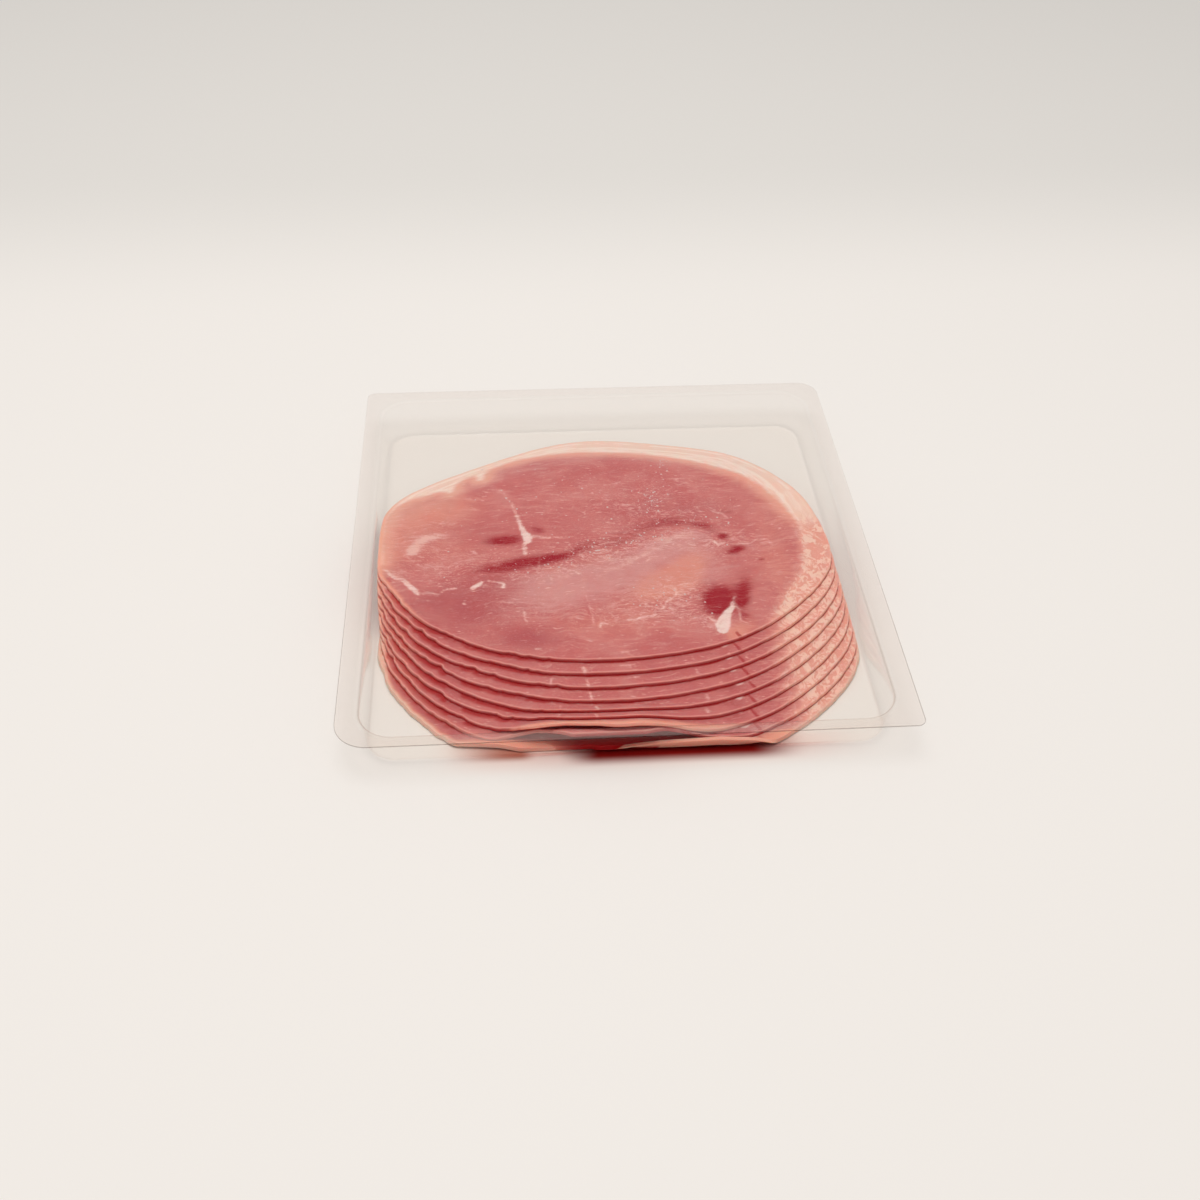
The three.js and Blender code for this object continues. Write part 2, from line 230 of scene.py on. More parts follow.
# The same on every slice below the top one, where its front strip shows
DEEP_RED_BELOW = [(33, -55.5, 5.4, 3.6, 12, 0.42), (24, -57, 4, 2.4, 12, 0.2)]
SINEWS_BELOW = [
    (0.75, [(-25.4, -62.4, 0.35), (-25, -59.8, 0.25)]),
    (0.8, [(-12.8, -63.8, 0.35), (-13.2, -61, 0.4)]),
    (0.45, [(3.4, -63.2, 0.15), (7.4, -61.4, 0.15)]),
    (0.6, [(24.4, -59.2, 0.4), (24, -57.4, 0.3)]),
]
SEAMS_BELOW = [[(38.8, -51.2, 0.2), (40, -53.4, 0.45), (41.4, -56.2, 0.5)]]

# Matt, milky skin where the film presses on the moist meat
HAZE = [
    (-14, -20, 20, 5.4, 8, 0.8), (8, -15, 18, 6, 24, 0.8), (24, -3, 14, 5, 22, 0.85),
    (0, -28, 24, 7, 4, 0.55), (36, -13, 6, 8, 0, 0.45), (-24, -30, 14, 8, 0, 0.5),
    (36, -24, 5, 5, 0, 0.4), (-30, -40, 16, 7, 0, 0.25), (20, -46, 20, 5, 0, 0.3),
]

# A net of the finest pale threads
THREADS = [
    (-6, -8, 26, 8, 12, 1.0), (24, -32, 14, 8, 10, 0.9), (8, -44, 16, 5, 0, 0.6),
    (-60, -14, 22, 9, 0, 0.5), (48, -4, 13, 7, 0, 0.6), (35, -46, 8, 8, 0, 0.8),
    (20, 14, 22, 12, 0, 0.5), (-70, 8, 12, 14, 0, 0.45), (-20, -36, 26, 10, 0, 0.35),
    (0, 30, 60, 16, 0, 0.25),
]

# The paler, orange muscle in the middle, and orange meat towards the sides
SALMON = [
    (14, -28, 8, 5, 25, 0.9), (21, -24, 8, 7, 20, 1.0), (27, -19, 4, 6, 0, 0.8),
    (32, -12, 6, 6, 0, 0.5), (39.5, -54, 3.4, 3, 0, 0.9), (44, -50, 5, 4, 0, 0.5),
    (0, -46, 26, 9, 0, 0.45), (60, 2, 9, 26, 0, 0.35), (-66, 22, 16, 12, 0, 0.85),
    (-58, -4, 16, 8, 0, 0.35), (-78, 2, 8, 18, 0, 0.4), (60, -22, 8, 12, 0, 0.3),
]

# Duller, darker meat
DUSK = [
    (-50, -36, 20, 11, 18, 0.75), (-31, -53, 12, 6, 8, 0.8), (-66, -30, 10, 6, 30, 0.4),
    (-52, 8, 12, 10, 0, 0.35), (0, 44, 44, 10, 0, 0.35), (0, 12, 40, 8, 6, 0.35),
    (30, 20, 26, 8, -10, 0.4), (44, -20, 8, 14, 0, 0.35), (-40, -22, 16, 6, 0, 0.4),
    (20, -54, 18, 5, 10, 0.3),
]

# Where drops of juice stand under the film
MOISTURE = [
    (17, 24, 3.4, 8, -14, 1.0), (24, 46, 2.2, 5, 0, 0.8), (0, -3, 20, 3, 14, 0.5),
    (-22, -14, 12, 3, 10, 0.3), (30, 10, 12, 3, 0, 0.3), (18, -36, 12, 8, 0, 0.15),
    (-10, 20, 40, 26, 0, 0.03),
]

# Each noise pattern of the meat: its turn, its turns per millimetre in the three directions,
# detail, roughness and distortion. Muscle bundles are 14 mm wide, fibres 1.6 by 8 mm, grain
# 0.8 mm, threads of connective tissue 3 by 8 mm apart, fat flecks 2 by 3 mm in clumps of 7 mm.
PATTERNS = {
    "bundles": (0.3, (0.07, 0.085, 0.03), 4.0, 0.55, 0.5),
    "fibres": (0.08, (0.12, 0.62, 0.15), 4.0, 0.6, 0.6),
    "grain": (0.0, (1.2, 1.45, 1.2), 2.0, 0.6, 0.0),
    "net": (0.15, (0.13, 0.34, 0.1), 3.0, 0.6, 1.8),
    "dashes": (-0.12, (0.36, 1.4, 0.4), 1.0, 0.5, 0.5),
    "patches": (0.0, (0.055, 0.07, 0.05), 2.0, 0.5, 0.0),
    "flecks": (0.5, (0.5, 0.34, 0.3), 3.0, 0.7, 1.0),
    "clumps": (0.2, (0.15, 0.13, 0.1), 2.0, 0.5, 0.4),
}
ATTRIBUTES = (
    "fat", "blush", "sinew", "seam", "pale", "deep", "haze", "threads", "salmon", "dusk", "rim",
    "face", "flank", "under", "hidden", "peach", "fringe", "cut",
)

# Layers of colour: what selects each, its colour and, unless that is its cover as it stands, how
# much the grain and the fibres fray it, where it starts, where it is full and its full cover
MEAT_LAYERS = (
    ("bundles", "meat_light", 0.1, 0.3, 0.36, 0.66, 0.6),
    ("fibres", "meat_pale", 0.2, 0.0, 0.5, 0.74, 0.4),
    ("dusk", "meat_dark", 0.0, 0.6, 0.1, 1.0, 0.7),
    ("salmon", "salmon", 0.1, 0.3, 0.1, 0.9, 0.75),
    ("blush", "blush", 0.1, 0.45, 0.0, 0.95, 0.85),
    ("haze", "haze", 0.5, 1.1, 0.1, 1.0, 0.6),
    ("grain", "meat_pale", 0.0, 0.0, 0.5, 0.8, 0.22),
    ("web", "marbling", 0.0, 0.0, 0.05, 0.5, 0.5),
    ("pale", "marbling", 0.5, 1.3, 0.15, 0.9, 0.7),
    ("strokes", "marbling", 0.0, 0.0, 0.64, 0.8, 0.55),
    ("deep", "deep_red", 0.7, 1.3, 0.1, 1.1, 1.0),
    ("sinew", "marbling", 0.8, 1.1, 0.12, 0.9, 0.6),
    ("sinew", "sinew", 0.8, 1.1, 0.55, 1.15, 0.85),
    ("seam", "juice", 0.3, 0.4, 0.25, 0.9, 0.7),
)
# Cream in the middle of the band, deeper along the rind, in streaks that follow it
FAT_LAYERS = (
    ("streaks", "fat", 0.0, 0.0, 0.38, 0.62, 1.0),
    ("rim", "rind", 0.0, 0.0, 3.0, 0.2, 0.7),
)
# Orange meat full of flecks, sparser and finer away from the lean
FLANK_LAYERS = (
    ("speckle", "fleck", 0.0, 0.0, 0.75, 0.84, 1.0),
    ("grain", "fat_deep", 0.0, 0.0, 0.5, 0.75, 0.3),
)
# The cut face is painted dark red as shade, but orange where it is fat
EDGE_LAYERS = (("is_fat", "fat_edge"), ("is_flank", "fat_edge"), ("peach", "fat_edge"))
# Painted shade lies under each edge, on the cut faces and where another slice hides the meat,
# with a painted highlight along each top edge and painted light on thin edges
LAST_LAYERS = (
    ("is_fat", "all_fat"), ("is_flank", "all_flank"),
    ("peach", "peach", 0.0, 0.4, 0.05, 1.0, 0.85),
    ("shaded", "edge", 0.2, 0.6, 0.1, 1.1, 0.85),
    # Painted highlight along each top edge
    ("rim", "rim", 0.5, 0.6, 0.8, 0.35, 0.45),
    ("face", "edge"), ("hidden", "painted_hollow_shade"),
    ("fringe", "fringe", 0.1, 0.2, 0.0, 1.0, 0.9),
)

# Painted light and shade on the paper before the tray's front, standing in for light that came
# through the meat: a wide faint pink glow, and narrow bands of dark red and brown painted shadow
# along the tray's foot. In metres: where each starts and is full before the tray, its left end
# and rise, its right end and rise, and then its cover and its colour
GLOWS = (
    (-0.104, -0.0935, -0.07, 0.03, 0.085, 0.04, 0.4, "glow"),
    (-0.0972, -0.0935, -0.062, 0.024, -0.03, 0.006, 0.85, "painted_brown_shadow"),
    (-0.1005, -0.0952, -0.024, 0.014, 0.06, 0.02, 1.0, "painted_red_shadow"),
)
GLOW_END = (-0.085, -0.091)


# ---- Small tools -----------------------------------------------------------------------------


def linear(hex_colour):
    """The linear colour of an sRGB hex value."""
    channels = [int(hex_colour[i:i + 2], 16) / 255 for i in (1, 3, 5)]
    return tuple(c / 12.92 if c <= 0.04045 else ((c + 0.055) / 1.055) ** 2.4 for c in channels)


def add_node(tree, kind, links=None, out=0, **settings):
    """Adds a node and returns its output socket, or with out=None the node. links gives each
    input, by name or number, its value or the socket that feeds it."""
    node = tree.nodes.new(kind)
    for name, value in settings.items():
        setattr(node, name, value)
    for key, value in (links or {}).items():
        if isinstance(value, bpy.types.NodeSocket):
            tree.links.new(value, node.inputs[key])
        else:
            node.inputs[key].default_value = value
    return node if out is None else node.outputs[out]


def smoothstep(value, low, high):
    part = np.clip((value - low) / (high - low), 0, 1)
    return part * part * (3 - 2 * part)


def window(value, start, full, fall, end):
    """0 before start, 1 from full to fall and 0 after end, with soft changes between."""
    return smoothstep(value, start, full) * smoothstep(-value, -end, -fall)


def closed_curve(points, steps):
    """A centripetal Catmull-Rom curve through a closed row of points, with steps points a span."""
    count = len(points)
    made = []
    for i in range(count):
        corners = [np.array(points[(i + j) % count], float) for j in (-1, 0, 1, 2)]
        knots = [0.0]
        for a, b in zip(corners, corners[1:]):
            knots.append(knots[-1] + math.sqrt(math.dist(a, b)))
        for t in np.linspace(knots[1], knots[2], steps, endpoint=False):
            row = corners
            for spans in ([(0, 1), (1, 2), (2, 3)], [(0, 2), (1, 3)], [(1, 2)]):
                row = [
                    (row[j] * (knots[b] - t) + row[j + 1] * (t - knots[a])) / (knots[b] - knots[a])
                    for j, (a, b) in enumerate(spans)
                ]
            made.append(row[0])
    return np.array(made)


def grid_cells(index):
    """The quads of a grid of point numbers."""
    cells = (index[:-1, :-1], index[:-1, 1:], index[1:, 1:], index[1:, :-1])
    return np.stack(cells, axis=-1).reshape(-1, 4)


def mesh_object(name, points, quads, fields=None):
    """An object from points in millimetres and four-cornered faces, with a float attribute for
    each of fields."""
    mesh = bpy.data.meshes.new(name)
    mesh.vertices.add(len(points))
    mesh.vertices.foreach_set("co", (np.asarray(points, np.float32) * MM).ravel())
    quads = np.asarray(quads, np.int32)
    mesh.loops.add(quads.size)
    mesh.loops.foreach_set("vertex_index", quads.ravel())
    mesh.polygons.add(len(quads))
    mesh.polygons.foreach_set("loop_start", np.arange(0, quads.size, 4, dtype=np.int32))
    mesh.update(calc_edges=True)
    mesh.polygons.foreach_set("use_smooth", np.full(len(quads), True))
    for field, values in (fields or {}).items():
        attribute = mesh.attributes.new(field, "FLOAT", "POINT")
        attribute.data.foreach_set("value", np.asarray(values, np.float32))
    mesh.validate()
    mesh.set_sharp_from_angle(angle=SHARP_ANGLE)
    made = bpy.data.objects.new(name, mesh)
    bpy.context.scene.collection.objects.link(made)
    return made


def finish_piece(piece, material, slot, *nodes):
    """Gives a piece its material, its body and the CAD nodes that it stands for."""
    if material is not None:
        piece.data.materials.clear()
        piece.data.materials.append(material)
    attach(piece, "root")
    if nodes:
        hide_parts(*nodes)


def freeze(source, modifier, name):
    """The plain mesh that a Geometry Nodes modifier makes, in place of its source."""
    graph = bpy.context.evaluated_depsgraph_get()
    mesh = bpy.data.meshes.new_from_object(source.evaluated_get(graph))
    source.modifiers.remove(modifier)
    old = source.data
    source.data = mesh
    bpy.data.meshes.remove(old)
    source.name = name
    mesh.name = name
    return source


def geometry_modifier(source, tree, values):
    """Puts a Geometry Nodes tree on an object, with values for its inputs by their names."""
    modifier = source.modifiers.new(tree.name, "NODES")
    modifier.node_group = tree
    for item in tree.interface.items_tree:
        if item.item_type == "SOCKET" and item.in_out == "INPUT" and item.name in values:
            modifier[item.identifier] = values[item.name]
    return modifier


# ---- Patterns over a slice -------------------------------------------------------------------


def from_line(across, along, start, end):
    """How far along a line each point lies, from 0 to 1, and how far away from it."""
    dx, dy = end[0] - start[0], end[1] - start[1]
    part = (across - start[0]) * dx + (along - start[1]) * dy
    part = np.clip(part / (dx * dx + dy * dy), 0, 1)
    return part, np.hypot(across - start[0] - part * dx, along - start[1] - part * dy)


def strand_cover(across, along, strands, soft=0.85):
    """How far each point is covered by the strongest of some tapering strands, from 0 to 1."""
    cover = np.zeros(across.shape)
    for strength, strand in strands:
        depth = np.full(across.shape, -50.0)
        for start, end in zip(strand, strand[1:]):
            part, gap = from_line(across, along, start, end)
            depth = np.maximum(depth, start[2] + (end[2] - start[2]) * part - gap)
        cover = np.maximum(cover, strength * smoothstep(depth, -soft, 0.5 * soft))
    return cover


def outside_depth(across, along, outline):
    """How far each point lies outside a closed outline, negative inside."""
    inside = np.zeros(across.shape, bool)
    gap = np.full(across.shape, 1e9)
    for start, end in zip(outline, np.roll(outline, -1, axis=0)):
        gap = np.minimum(gap, from_line(across, along, start, end)[1])
        (x1, y1), (x2, y2) = start, end
        if y1 != y2:
            crosses = (along > min(y1, y2)) & (along <= max(y1, y2))
            inside ^= crosses & (across < x1 + (along - y1) / (y2 - y1) * (x2 - x1))
    return np.where(inside, -gap, gap)


def clouds(across, along, blobs):
    """The sum of soft oval blobs, each (across, along, half width, half length, turn, strength)."""
    total = np.zeros(across.shape)
    for x, y, half_width, half_length, turn, strength in blobs:
        c, s = math.cos(math.radians(turn)), math.sin(math.radians(turn))
        dx, dy = across - x, along - y
        gap = ((dx * c + dy * s) / half_width) ** 2 + ((dy * c - dx * s) / half_length) ** 2
        total += strength * np.exp(-0.7 * gap)
    return np.clip(total, 0, 1)


def ham_fields(across, along, number):
    """The attributes of a slice's points by their place in its plan. Every slice but the top one
    has its own bits on the strip that shows."""
    outline = closed_curve(MEAT_EDGE, 3)
    below = number > 0
    random = np.random.default_rng(40 + number)
    shift = random.uniform(-1.2, 1.2, 2) if below else np.zeros(2)
    x, y = across + shift[0], along + 0.5 * shift[1]
    marks = [
        (strength * random.uniform(0.45, 1.1), strand) for strength, strand in SINEWS_BELOW
    ]
    fat = outside_depth(across, along, outline)
    behind = smoothstep(along + 0.35 * np.maximum(-across, 0), -5, 15)
    return {
        "fat": fat,
        "blush": behind * smoothstep(fat, -11, 1.5),
        "sinew": strand_cover(x, y, SINEWS + (marks if below else [])),
        "seam": strand_cover(x, y, [(1.0, SEAMS_BELOW[0] if below else SEAMS_BELOW[0][-2:])]),
        "pale": clouds(x, y, PALE_TISSUE),
        "deep": clouds(x, y, DEEP_RED + (DEEP_RED_BELOW if below else [])),
        "haze": clouds(x, y, HAZE) * (0.5 if below else 1),
        "threads": clouds(x, y, THREADS),
        "salmon": clouds(x, y, SALMON[:4] + SALMON[6:] if below else SALMON),
        "dusk": clouds(x, y, DUSK),
        "moisture": clouds(x, y, MOISTURE) * (0 if below else 1),
    }


# ---- Geometry Nodes --------------------------------------------------------------------------

LAY_INPUTS = (
    ("Geometry", "Geometry"), ("Slice", "Float"), ("Slices Below", "Int"),
    ("Step Forward", "Float"), ("Step Right", "Float"), ("Pitch", "Float"),
    ("Bed Height", "Float"), ("Drape Start", "Float"), ("Drape Run", "Float"),
    ("Hump Height", "Float"), ("Hump Left", "Float"), ("Hump Left Run", "Float"),
    ("Hump Right", "Float"), ("Hump Right Run", "Float"), ("Hump Foot", "Float"),
    ("Hump Crest", "Float"), ("Material", "Material"),
)
BEAD_INPUTS = (
    ("Geometry", "Geometry"), ("Density", "Float"), ("Smallest", "Float"), ("Largest", "Float"),
    ("Seed", "Int"), ("Material", "Material"),
)


def new_tree(name, inputs):
    """An empty Geometry Nodes tree with named inputs, its input node and its output node."""
    tree = bpy.data.node_groups.new(name, "GeometryNodeTree")
    for label, kind in inputs:
        tree.interface.new_socket(label, in_out="INPUT", socket_type="NodeSocket" + kind)
    tree.interface.new_socket("Geometry", in_out="OUTPUT", socket_type="NodeSocketGeometry")
    given = add_node(tree, "NodeGroupInput", out=None)
    result = add_node(tree, "NodeGroupOutput", out=None)
    return tree, dict(given.outputs.items()), result


def calculate(tree, values, steps):
    """Works out more values, each from its name, its operation and its inputs, which are numbers
    or the names of values."""
    for name, operation, *inputs in steps:
        values[name] = add_node(
            tree, "ShaderNodeMath", {i: values.get(key, key) for i, key in enumerate(inputs)},
            operation=operation,
        )


def finish_tree(tree, geometry, material, result):
    """Makes a tree's instances real and gives all of it its material."""
    real = add_node(tree, "GeometryNodeRealizeInstances", {0: geometry})
    done = add_node(tree, "GeometryNodeSetMaterial", {"Geometry": real, "Material": material})
    tree.links.new(done, result.inputs[0])
    return tree


def lay_tree(outline):
    """Lays a flat slice over the slices below it. Each of those holds it up as far as its own
    edge and a little past it, and the front edges buckle up at the tray's wall."""
    tree, values, result = new_tree("Lay Ham Slice", LAY_INPUTS)
    place = add_node(tree, "GeometryNodeInputPosition")
    for axis in range(2):
        values["xy"[axis]] = add_node(tree, "ShaderNodeSeparateXYZ", {0: place}, out=axis)
    values["crumple"] = add_node(
        tree, "GeometryNodeInputNamedAttribute", {"Name": "crumple"}, data_type="FLOAT"
    )
    start = add_node(tree, "GeometryNodeRepeatInput", out=None)
    end = add_node(tree, "GeometryNodeRepeatOutput", out=None)
    start.pair_with_output(end)
    end.repeat_items.new("FLOAT", "Layer")
    end.repeat_items.new("FLOAT", "Height")
    calculate(tree, values, (("first", "ADD", "Slice", 1.0),))
    values["layer"] = start.outputs["Layer"]
    values["under"] = start.outputs["Height"]

    # Where the point lies in the plan of the slice below
    calculate(tree, values, (
        ("right", "MULTIPLY", "layer", "Step Right"),
        ("ahead", "MULTIPLY", "layer", "Step Forward"),
        ("across", "SUBTRACT", "x", "right"),
        ("along", "ADD", "y", "ahead"),
        ("angle", "ARCTAN2", "along", "across"),
        ("turn", "MULTIPLY_ADD", "angle", 0.5 / math.pi, 0.5),
    ))
    curve = add_node(tree, "ShaderNodeFloatCurve", {"Value": values["turn"]}, out=None)
    points = curve.mapping.curves[0].points
    curve.mapping.use_clip = False
    radii = edge_radius(outline, np.linspace(-math.pi, math.pi, 33)) * MM / OUTLINE_SPAN
    points[0].location = (0, radii[0])
    points[1].location = (1, radii[-1])
    for part, radius in list(zip(np.linspace(0, 1, 33), radii))[1:-1]:
        points.new(float(part), float(radius))
    curve.mapping.update()
    values["curve"] = curve.outputs[0]
    calculate(tree, values, (
        ("edge", "MULTIPLY", "curve", OUTLINE_SPAN),
        ("across2", "MULTIPLY", "across", "across"),
        ("length2", "MULTIPLY_ADD", "along", "along", "across2"),
        ("radius", "SQRT", "length2"),
        ("past", "SUBTRACT", "radius", "edge"),
        ("drape_end", "ADD", "Drape Start", "Drape Run"),
        ("from_left", "SUBTRACT", "x", "Hump Left"),
        ("from_right", "SUBTRACT", "Hump Right", "x"),
    ))
    # The hump rises towards the front wall, steeply on its left and gently on its right
    for name, source, low, high, at_low, at_high, shape in (
        ("held", "past", "Drape Start", "drape_end", "Pitch", 0.0, "SMOOTHSTEP"),
        ("left", "from_left", 0.0, "Hump Left Run", 0.0, 1.0, "SMOOTHSTEP"),
        ("right", "from_right", 0.0, "Hump Right Run", 0.0, 1.0, "SMOOTHSTEP"),
        ("near", "y", "Hump Foot", "Hump Crest", 0.0, 1.0, "LINEAR"),
    ):
        values[name] = add_node(
            tree, "ShaderNodeMapRange",
            {"Value": values[source], "From Min": values.get(low, low), "From Max": values[high],
             "To Min": values.get(at_low, at_low), "To Max": at_high},
            interpolation_type=shape,
        )
    values["top"] = end.outputs["Height"]
    calculate(tree, values, (
        ("height", "ADD", "under", "held"),
        ("next", "ADD", "layer", 1.0),
        ("bump", "MULTIPLY", "left", "right"),
        ("share", "MULTIPLY", "bump", "near"),
        ("humped", "MULTIPLY_ADD", "share", "Hump Height", "top"),
        ("level", "ADD", "humped", "crumple"),
    ))
    for source, socket in (
        (values["Slices Below"], start.inputs["Iterations"]),
        (values["Geometry"], start.inputs["Geometry"]),
        (values["first"], start.inputs["Layer"]),
        (values["Bed Height"], start.inputs["Height"]),
        (start.outputs["Geometry"], end.inputs["Geometry"]),
        (values["next"], end.inputs["Layer"]),
        (values["height"], end.inputs["Height"]),
    ):
        tree.links.new(source, socket)
    offset = add_node(tree, "ShaderNodeCombineXYZ", {"Z": values["level"]})
    laid = add_node(
        tree, "GeometryNodeSetPosition", {"Geometry": end.outputs["Geometry"], "Offset": offset}
    )
    return finish_tree(tree, laid, values["Material"], result)


def bead_tree():
    """Scatters flat drops over the upward face of a slice, where its moisture attribute is high."""
    tree, values, result = new_tree("Juice Drops", BEAD_INPUTS)
    normal = add_node(tree, "GeometryNodeInputNormal")
    up = add_node(tree, "ShaderNodeSeparateXYZ", {0: normal}, out=2)
    faces_up = add_node(
        tree, "FunctionNodeCompare", {0: up, 1: FACING_UP}, data_type="FLOAT",
        operation="GREATER_THAN",
    )
    values["moisture"] = add_node(
        tree, "GeometryNodeInputNamedAttribute", {"Name": "moisture"}, data_type="FLOAT"
    )
    values["size"] = add_node(
        tree, "FunctionNodeRandomValue", {"Min": 0.0, "Max": 1.0, "Seed": values["Seed"]}, out=1,
        data_type="FLOAT",
    )
    calculate(tree, values, (
        ("density", "MULTIPLY", "moisture", "Density"),
        ("skewed", "POWER", "size", 3.0),
    ))
    values["radius"] = add_node(
        tree, "ShaderNodeMapRange",
        {"Value": values["skewed"], "To Min": values["Smallest"], "To Max": values["Largest"]},
    )
    calculate(tree, values, (("flat", "MULTIPLY", "radius", DROP_FLATNESS),))
    scatter = add_node(
        tree, "GeometryNodeDistributePointsOnFaces",
        {"Mesh": values["Geometry"], "Selection": faces_up, "Density": values["density"],
         "Seed": values["Seed"]},
        out=None,
    )
    scale = add_node(
        tree, "ShaderNodeCombineXYZ",
        {"X": values["radius"], "Y": values["radius"], "Z": values["flat"]},
    )
    ball = add_node(tree, "GeometryNodeMeshIcoSphere", {"Radius": 1.0, "Subdivisions": 2})
    drops = add_node(
        tree, "GeometryNodeInstanceOnPoints",
        {"Points": scatter.outputs["Points"], "Instance": ball,
         "Rotation": scatter.outputs["Rotation"], "Scale": scale},
    )
    smooth = add_node(tree, "GeometryNodeSetShadeSmooth", {0: drops})
    return finish_tree(tree, smooth, values["Material"], result)


# ---- Materials -------------------------------------------------------------------------------


def new_material(name):
    """An empty node material, its tree and its output node."""
    material = bpy.data.materials.new(name)
    material.use_nodes = True
    material.node_tree.nodes.clear()
    output = add_node(material.node_tree, "ShaderNodeOutputMaterial", out=None)
    return material, material.node_tree, output


def paint(tree, values, shades, colour, layers):
    """Paints layers over a colour: see MEAT_LAYERS for what each of them says."""
    for name, shade, *limits in layers:
        cover = select(tree, values, name, *limits) if limits else values[name]
        colour = add_node(
            tree, "ShaderNodeMix", {0: cover, 6: colour, 7: shades[shade]}, out=2,
            data_type="RGBA",
        )
    return colour


def select(tree, values, name, grain, fibres, low, high, strength):
    """How far a layer covers: from 0 where a value is low to strength where it is high, with an
    edge that the grain and the fibres fray."""
    frayed = {**values, "it": values[name]}
    for pattern, part in (("grain", grain), ("fibres", fibres)):
        if part:
            calculate(tree, frayed, (
                ("it", "MULTIPLY_ADD", pattern, part, "it"),
                ("it", "SUBTRACT", "it", 0.5 * part),
            ))
    return add_node(
        tree, "ShaderNodeMapRange",
        {"Value": frayed["it"], "From Min": low, "From Max": high, "To Min": 0.0,
         "To Max": strength},
        interpolation_type="SMOOTHSTEP",
    )


def cooked_ham(colours):
    """Cooked, cured pork leg, cut on a slicer: smooth damp meat whose fibres scatter the light
    softly, with fat, connective tissue and marbling that each break its pink at their own size.
    The slice UV map holds the place in the slice's plan."""
    material, tree, output = new_material("cooked_cured_ham_sliced")
    shades = {name: (*getattr(colours, name), 1) for name in HamColours.__annotations__}
    values = {
        name: add_node(tree, "ShaderNodeAttribute", out=2, attribute_name=name)
        for name in ATTRIBUTES
    }
    # The slices are cuts through one leg, so the patterns run on from each to the next
    uv = add_node(tree, "ShaderNodeUVMap", uv_map="slice")
    split = add_node(tree, "ShaderNodeSeparateXYZ", {0: uv}, out=None)
    solid = add_node(
        tree, "ShaderNodeCombineXYZ",
        {"X": split.outputs[0], "Y": split.outputs[1], "Z": values["cut"]},
    )
    plan = add_node(
        tree, "ShaderNodeVectorMath", {0: solid, 1: (PLAN_SPAN,) * 3}, operation="MULTIPLY"
    )
    drift = add_node(
        tree, "ShaderNodeTexNoise", {"Vector": plan, "Scale": 0.06, "Detail": 2.0}, out=1
    )
    centred = add_node(
        tree, "ShaderNodeVectorMath", {0: drift, 1: (0.5, 0.5, 0.5)}, operation="SUBTRACT"
    )
    warped = add_node(
        tree, "ShaderNodeVectorMath", {0: centred, 1: (9, 9, 0), 2: plan},
        operation="MULTIPLY_ADD",
    )
    for name, (turn, scale, detail, roughness, distortion) in PATTERNS.items():
        at = add_node(
            tree, "ShaderNodeMapping", {"Vector": warped, "Rotation": (0, 0, turn), "Scale": scale}
        )
        values[name] = add_node(
            tree, "ShaderNodeTexNoise",
            {"Vector": at, "Scale": 1.0, "Detail": detail, "Roughness": roughness,
             "Distortion": distortion},
        )
    # The net's threads lie where its noise crosses its middle value
    calculate(tree, values, (
        ("off", "SUBTRACT", "net", 0.5),
        ("off", "ABSOLUTE", "off"),
        ("strokes", "MULTIPLY_ADD", "threads", 0.07, "dashes"),
    ))
    values["lines"] = add_node(
        tree, "ShaderNodeMapRange",
        {"Value": values["off"], "From Min": 0.035, "From Max": 0.0, "To Min": 0.0, "To Max": 1.6},
    )
    streak_at = add_node(
        tree, "ShaderNodeCombineXYZ",
        {"X": values["patches"], "Y": values["rim"], "Z": values["cut"]},
    )
    streak_at = add_node(
        tree, "ShaderNodeVectorMath", {0: streak_at, 1: (5.0, 0.55, 20.0)}, operation="MULTIPLY"
    )
    values["streaks"] = add_node(
        tree, "ShaderNodeTexNoise", {"Vector": streak_at, "Scale": 1.0, "Detail": 3.0}
    )
    for made, name, *limits in (
        ("near_lean", "fat", 0.0, 0.0, -7.0, 2.0, 0.12),
        ("away", "fat", 0.0, 0.0, 3.0, 12.0, -0.04),
        ("is_fat", "fat", 0.6, 3.0, -1.8, 1.5, 1.0),
        ("flank_side", "fat", 0.0, 5.0, -5.0, 2.0, 1.0),
        ("patchy", "bundles", 0.0, 0.0, 0.4, 0.6, 0.8),
    ):
        values[made] = select(tree, values, name, *limits)
    calculate(tree, values, (
        ("web", "MULTIPLY", "lines", "patches"),
        ("web", "MULTIPLY", "web", "threads"),
        ("dense", "ADD", "near_lean", "away"),
        ("clumped", "MULTIPLY_ADD", "clumps", 0.35, "dense"),
        ("speckle", "ADD", "flecks", "clumped"),
        ("is_flank", "MULTIPLY", "flank_side", "flank"),
        ("patchy", "ADD", "patchy", 0.3),
        # Painted shade under each edge, in patches
        ("shaded", "MULTIPLY", "under", "patchy"),
        ("relief", "MULTIPLY_ADD", "fibres", 0.6, "grain"),
    ))
    for made, base, layers in (
        ("all_fat", "fat_deep", FAT_LAYERS), ("all_flank", "flank", FLANK_LAYERS),
        ("edge", "juice", EDGE_LAYERS), ("all_meat", "meat", MEAT_LAYERS),
        ("whole", "all_meat", LAST_LAYERS),
    ):
        shades[made] = paint(tree, values, shades, shades[base], layers)
    rough = add_node(
        tree, "ShaderNodeMapRange", {"Value": values["grain"], "To Min": 0.3, "To Max": 0.55}
    )
    bump = add_node(
        tree, "ShaderNodeBump",
        {"Strength": 0.35, "Distance": 0.15 * MM, "Height": values["relief"]},
    )
    skin = add_node(
        tree, "ShaderNodeBsdfPrincipled",
        {"Base Color": shades["whole"], "Roughness": rough, "IOR": 1.4, "Normal": bump,
         "Specular IOR Level": 0.15, "Subsurface Weight": 0.75,
         "Subsurface Radius": (1.0, 0.25, 0.18), "Subsurface Scale": 1.8 * MM},
    )
    tree.links.new(skin, output.inputs["Surface"])
    return material


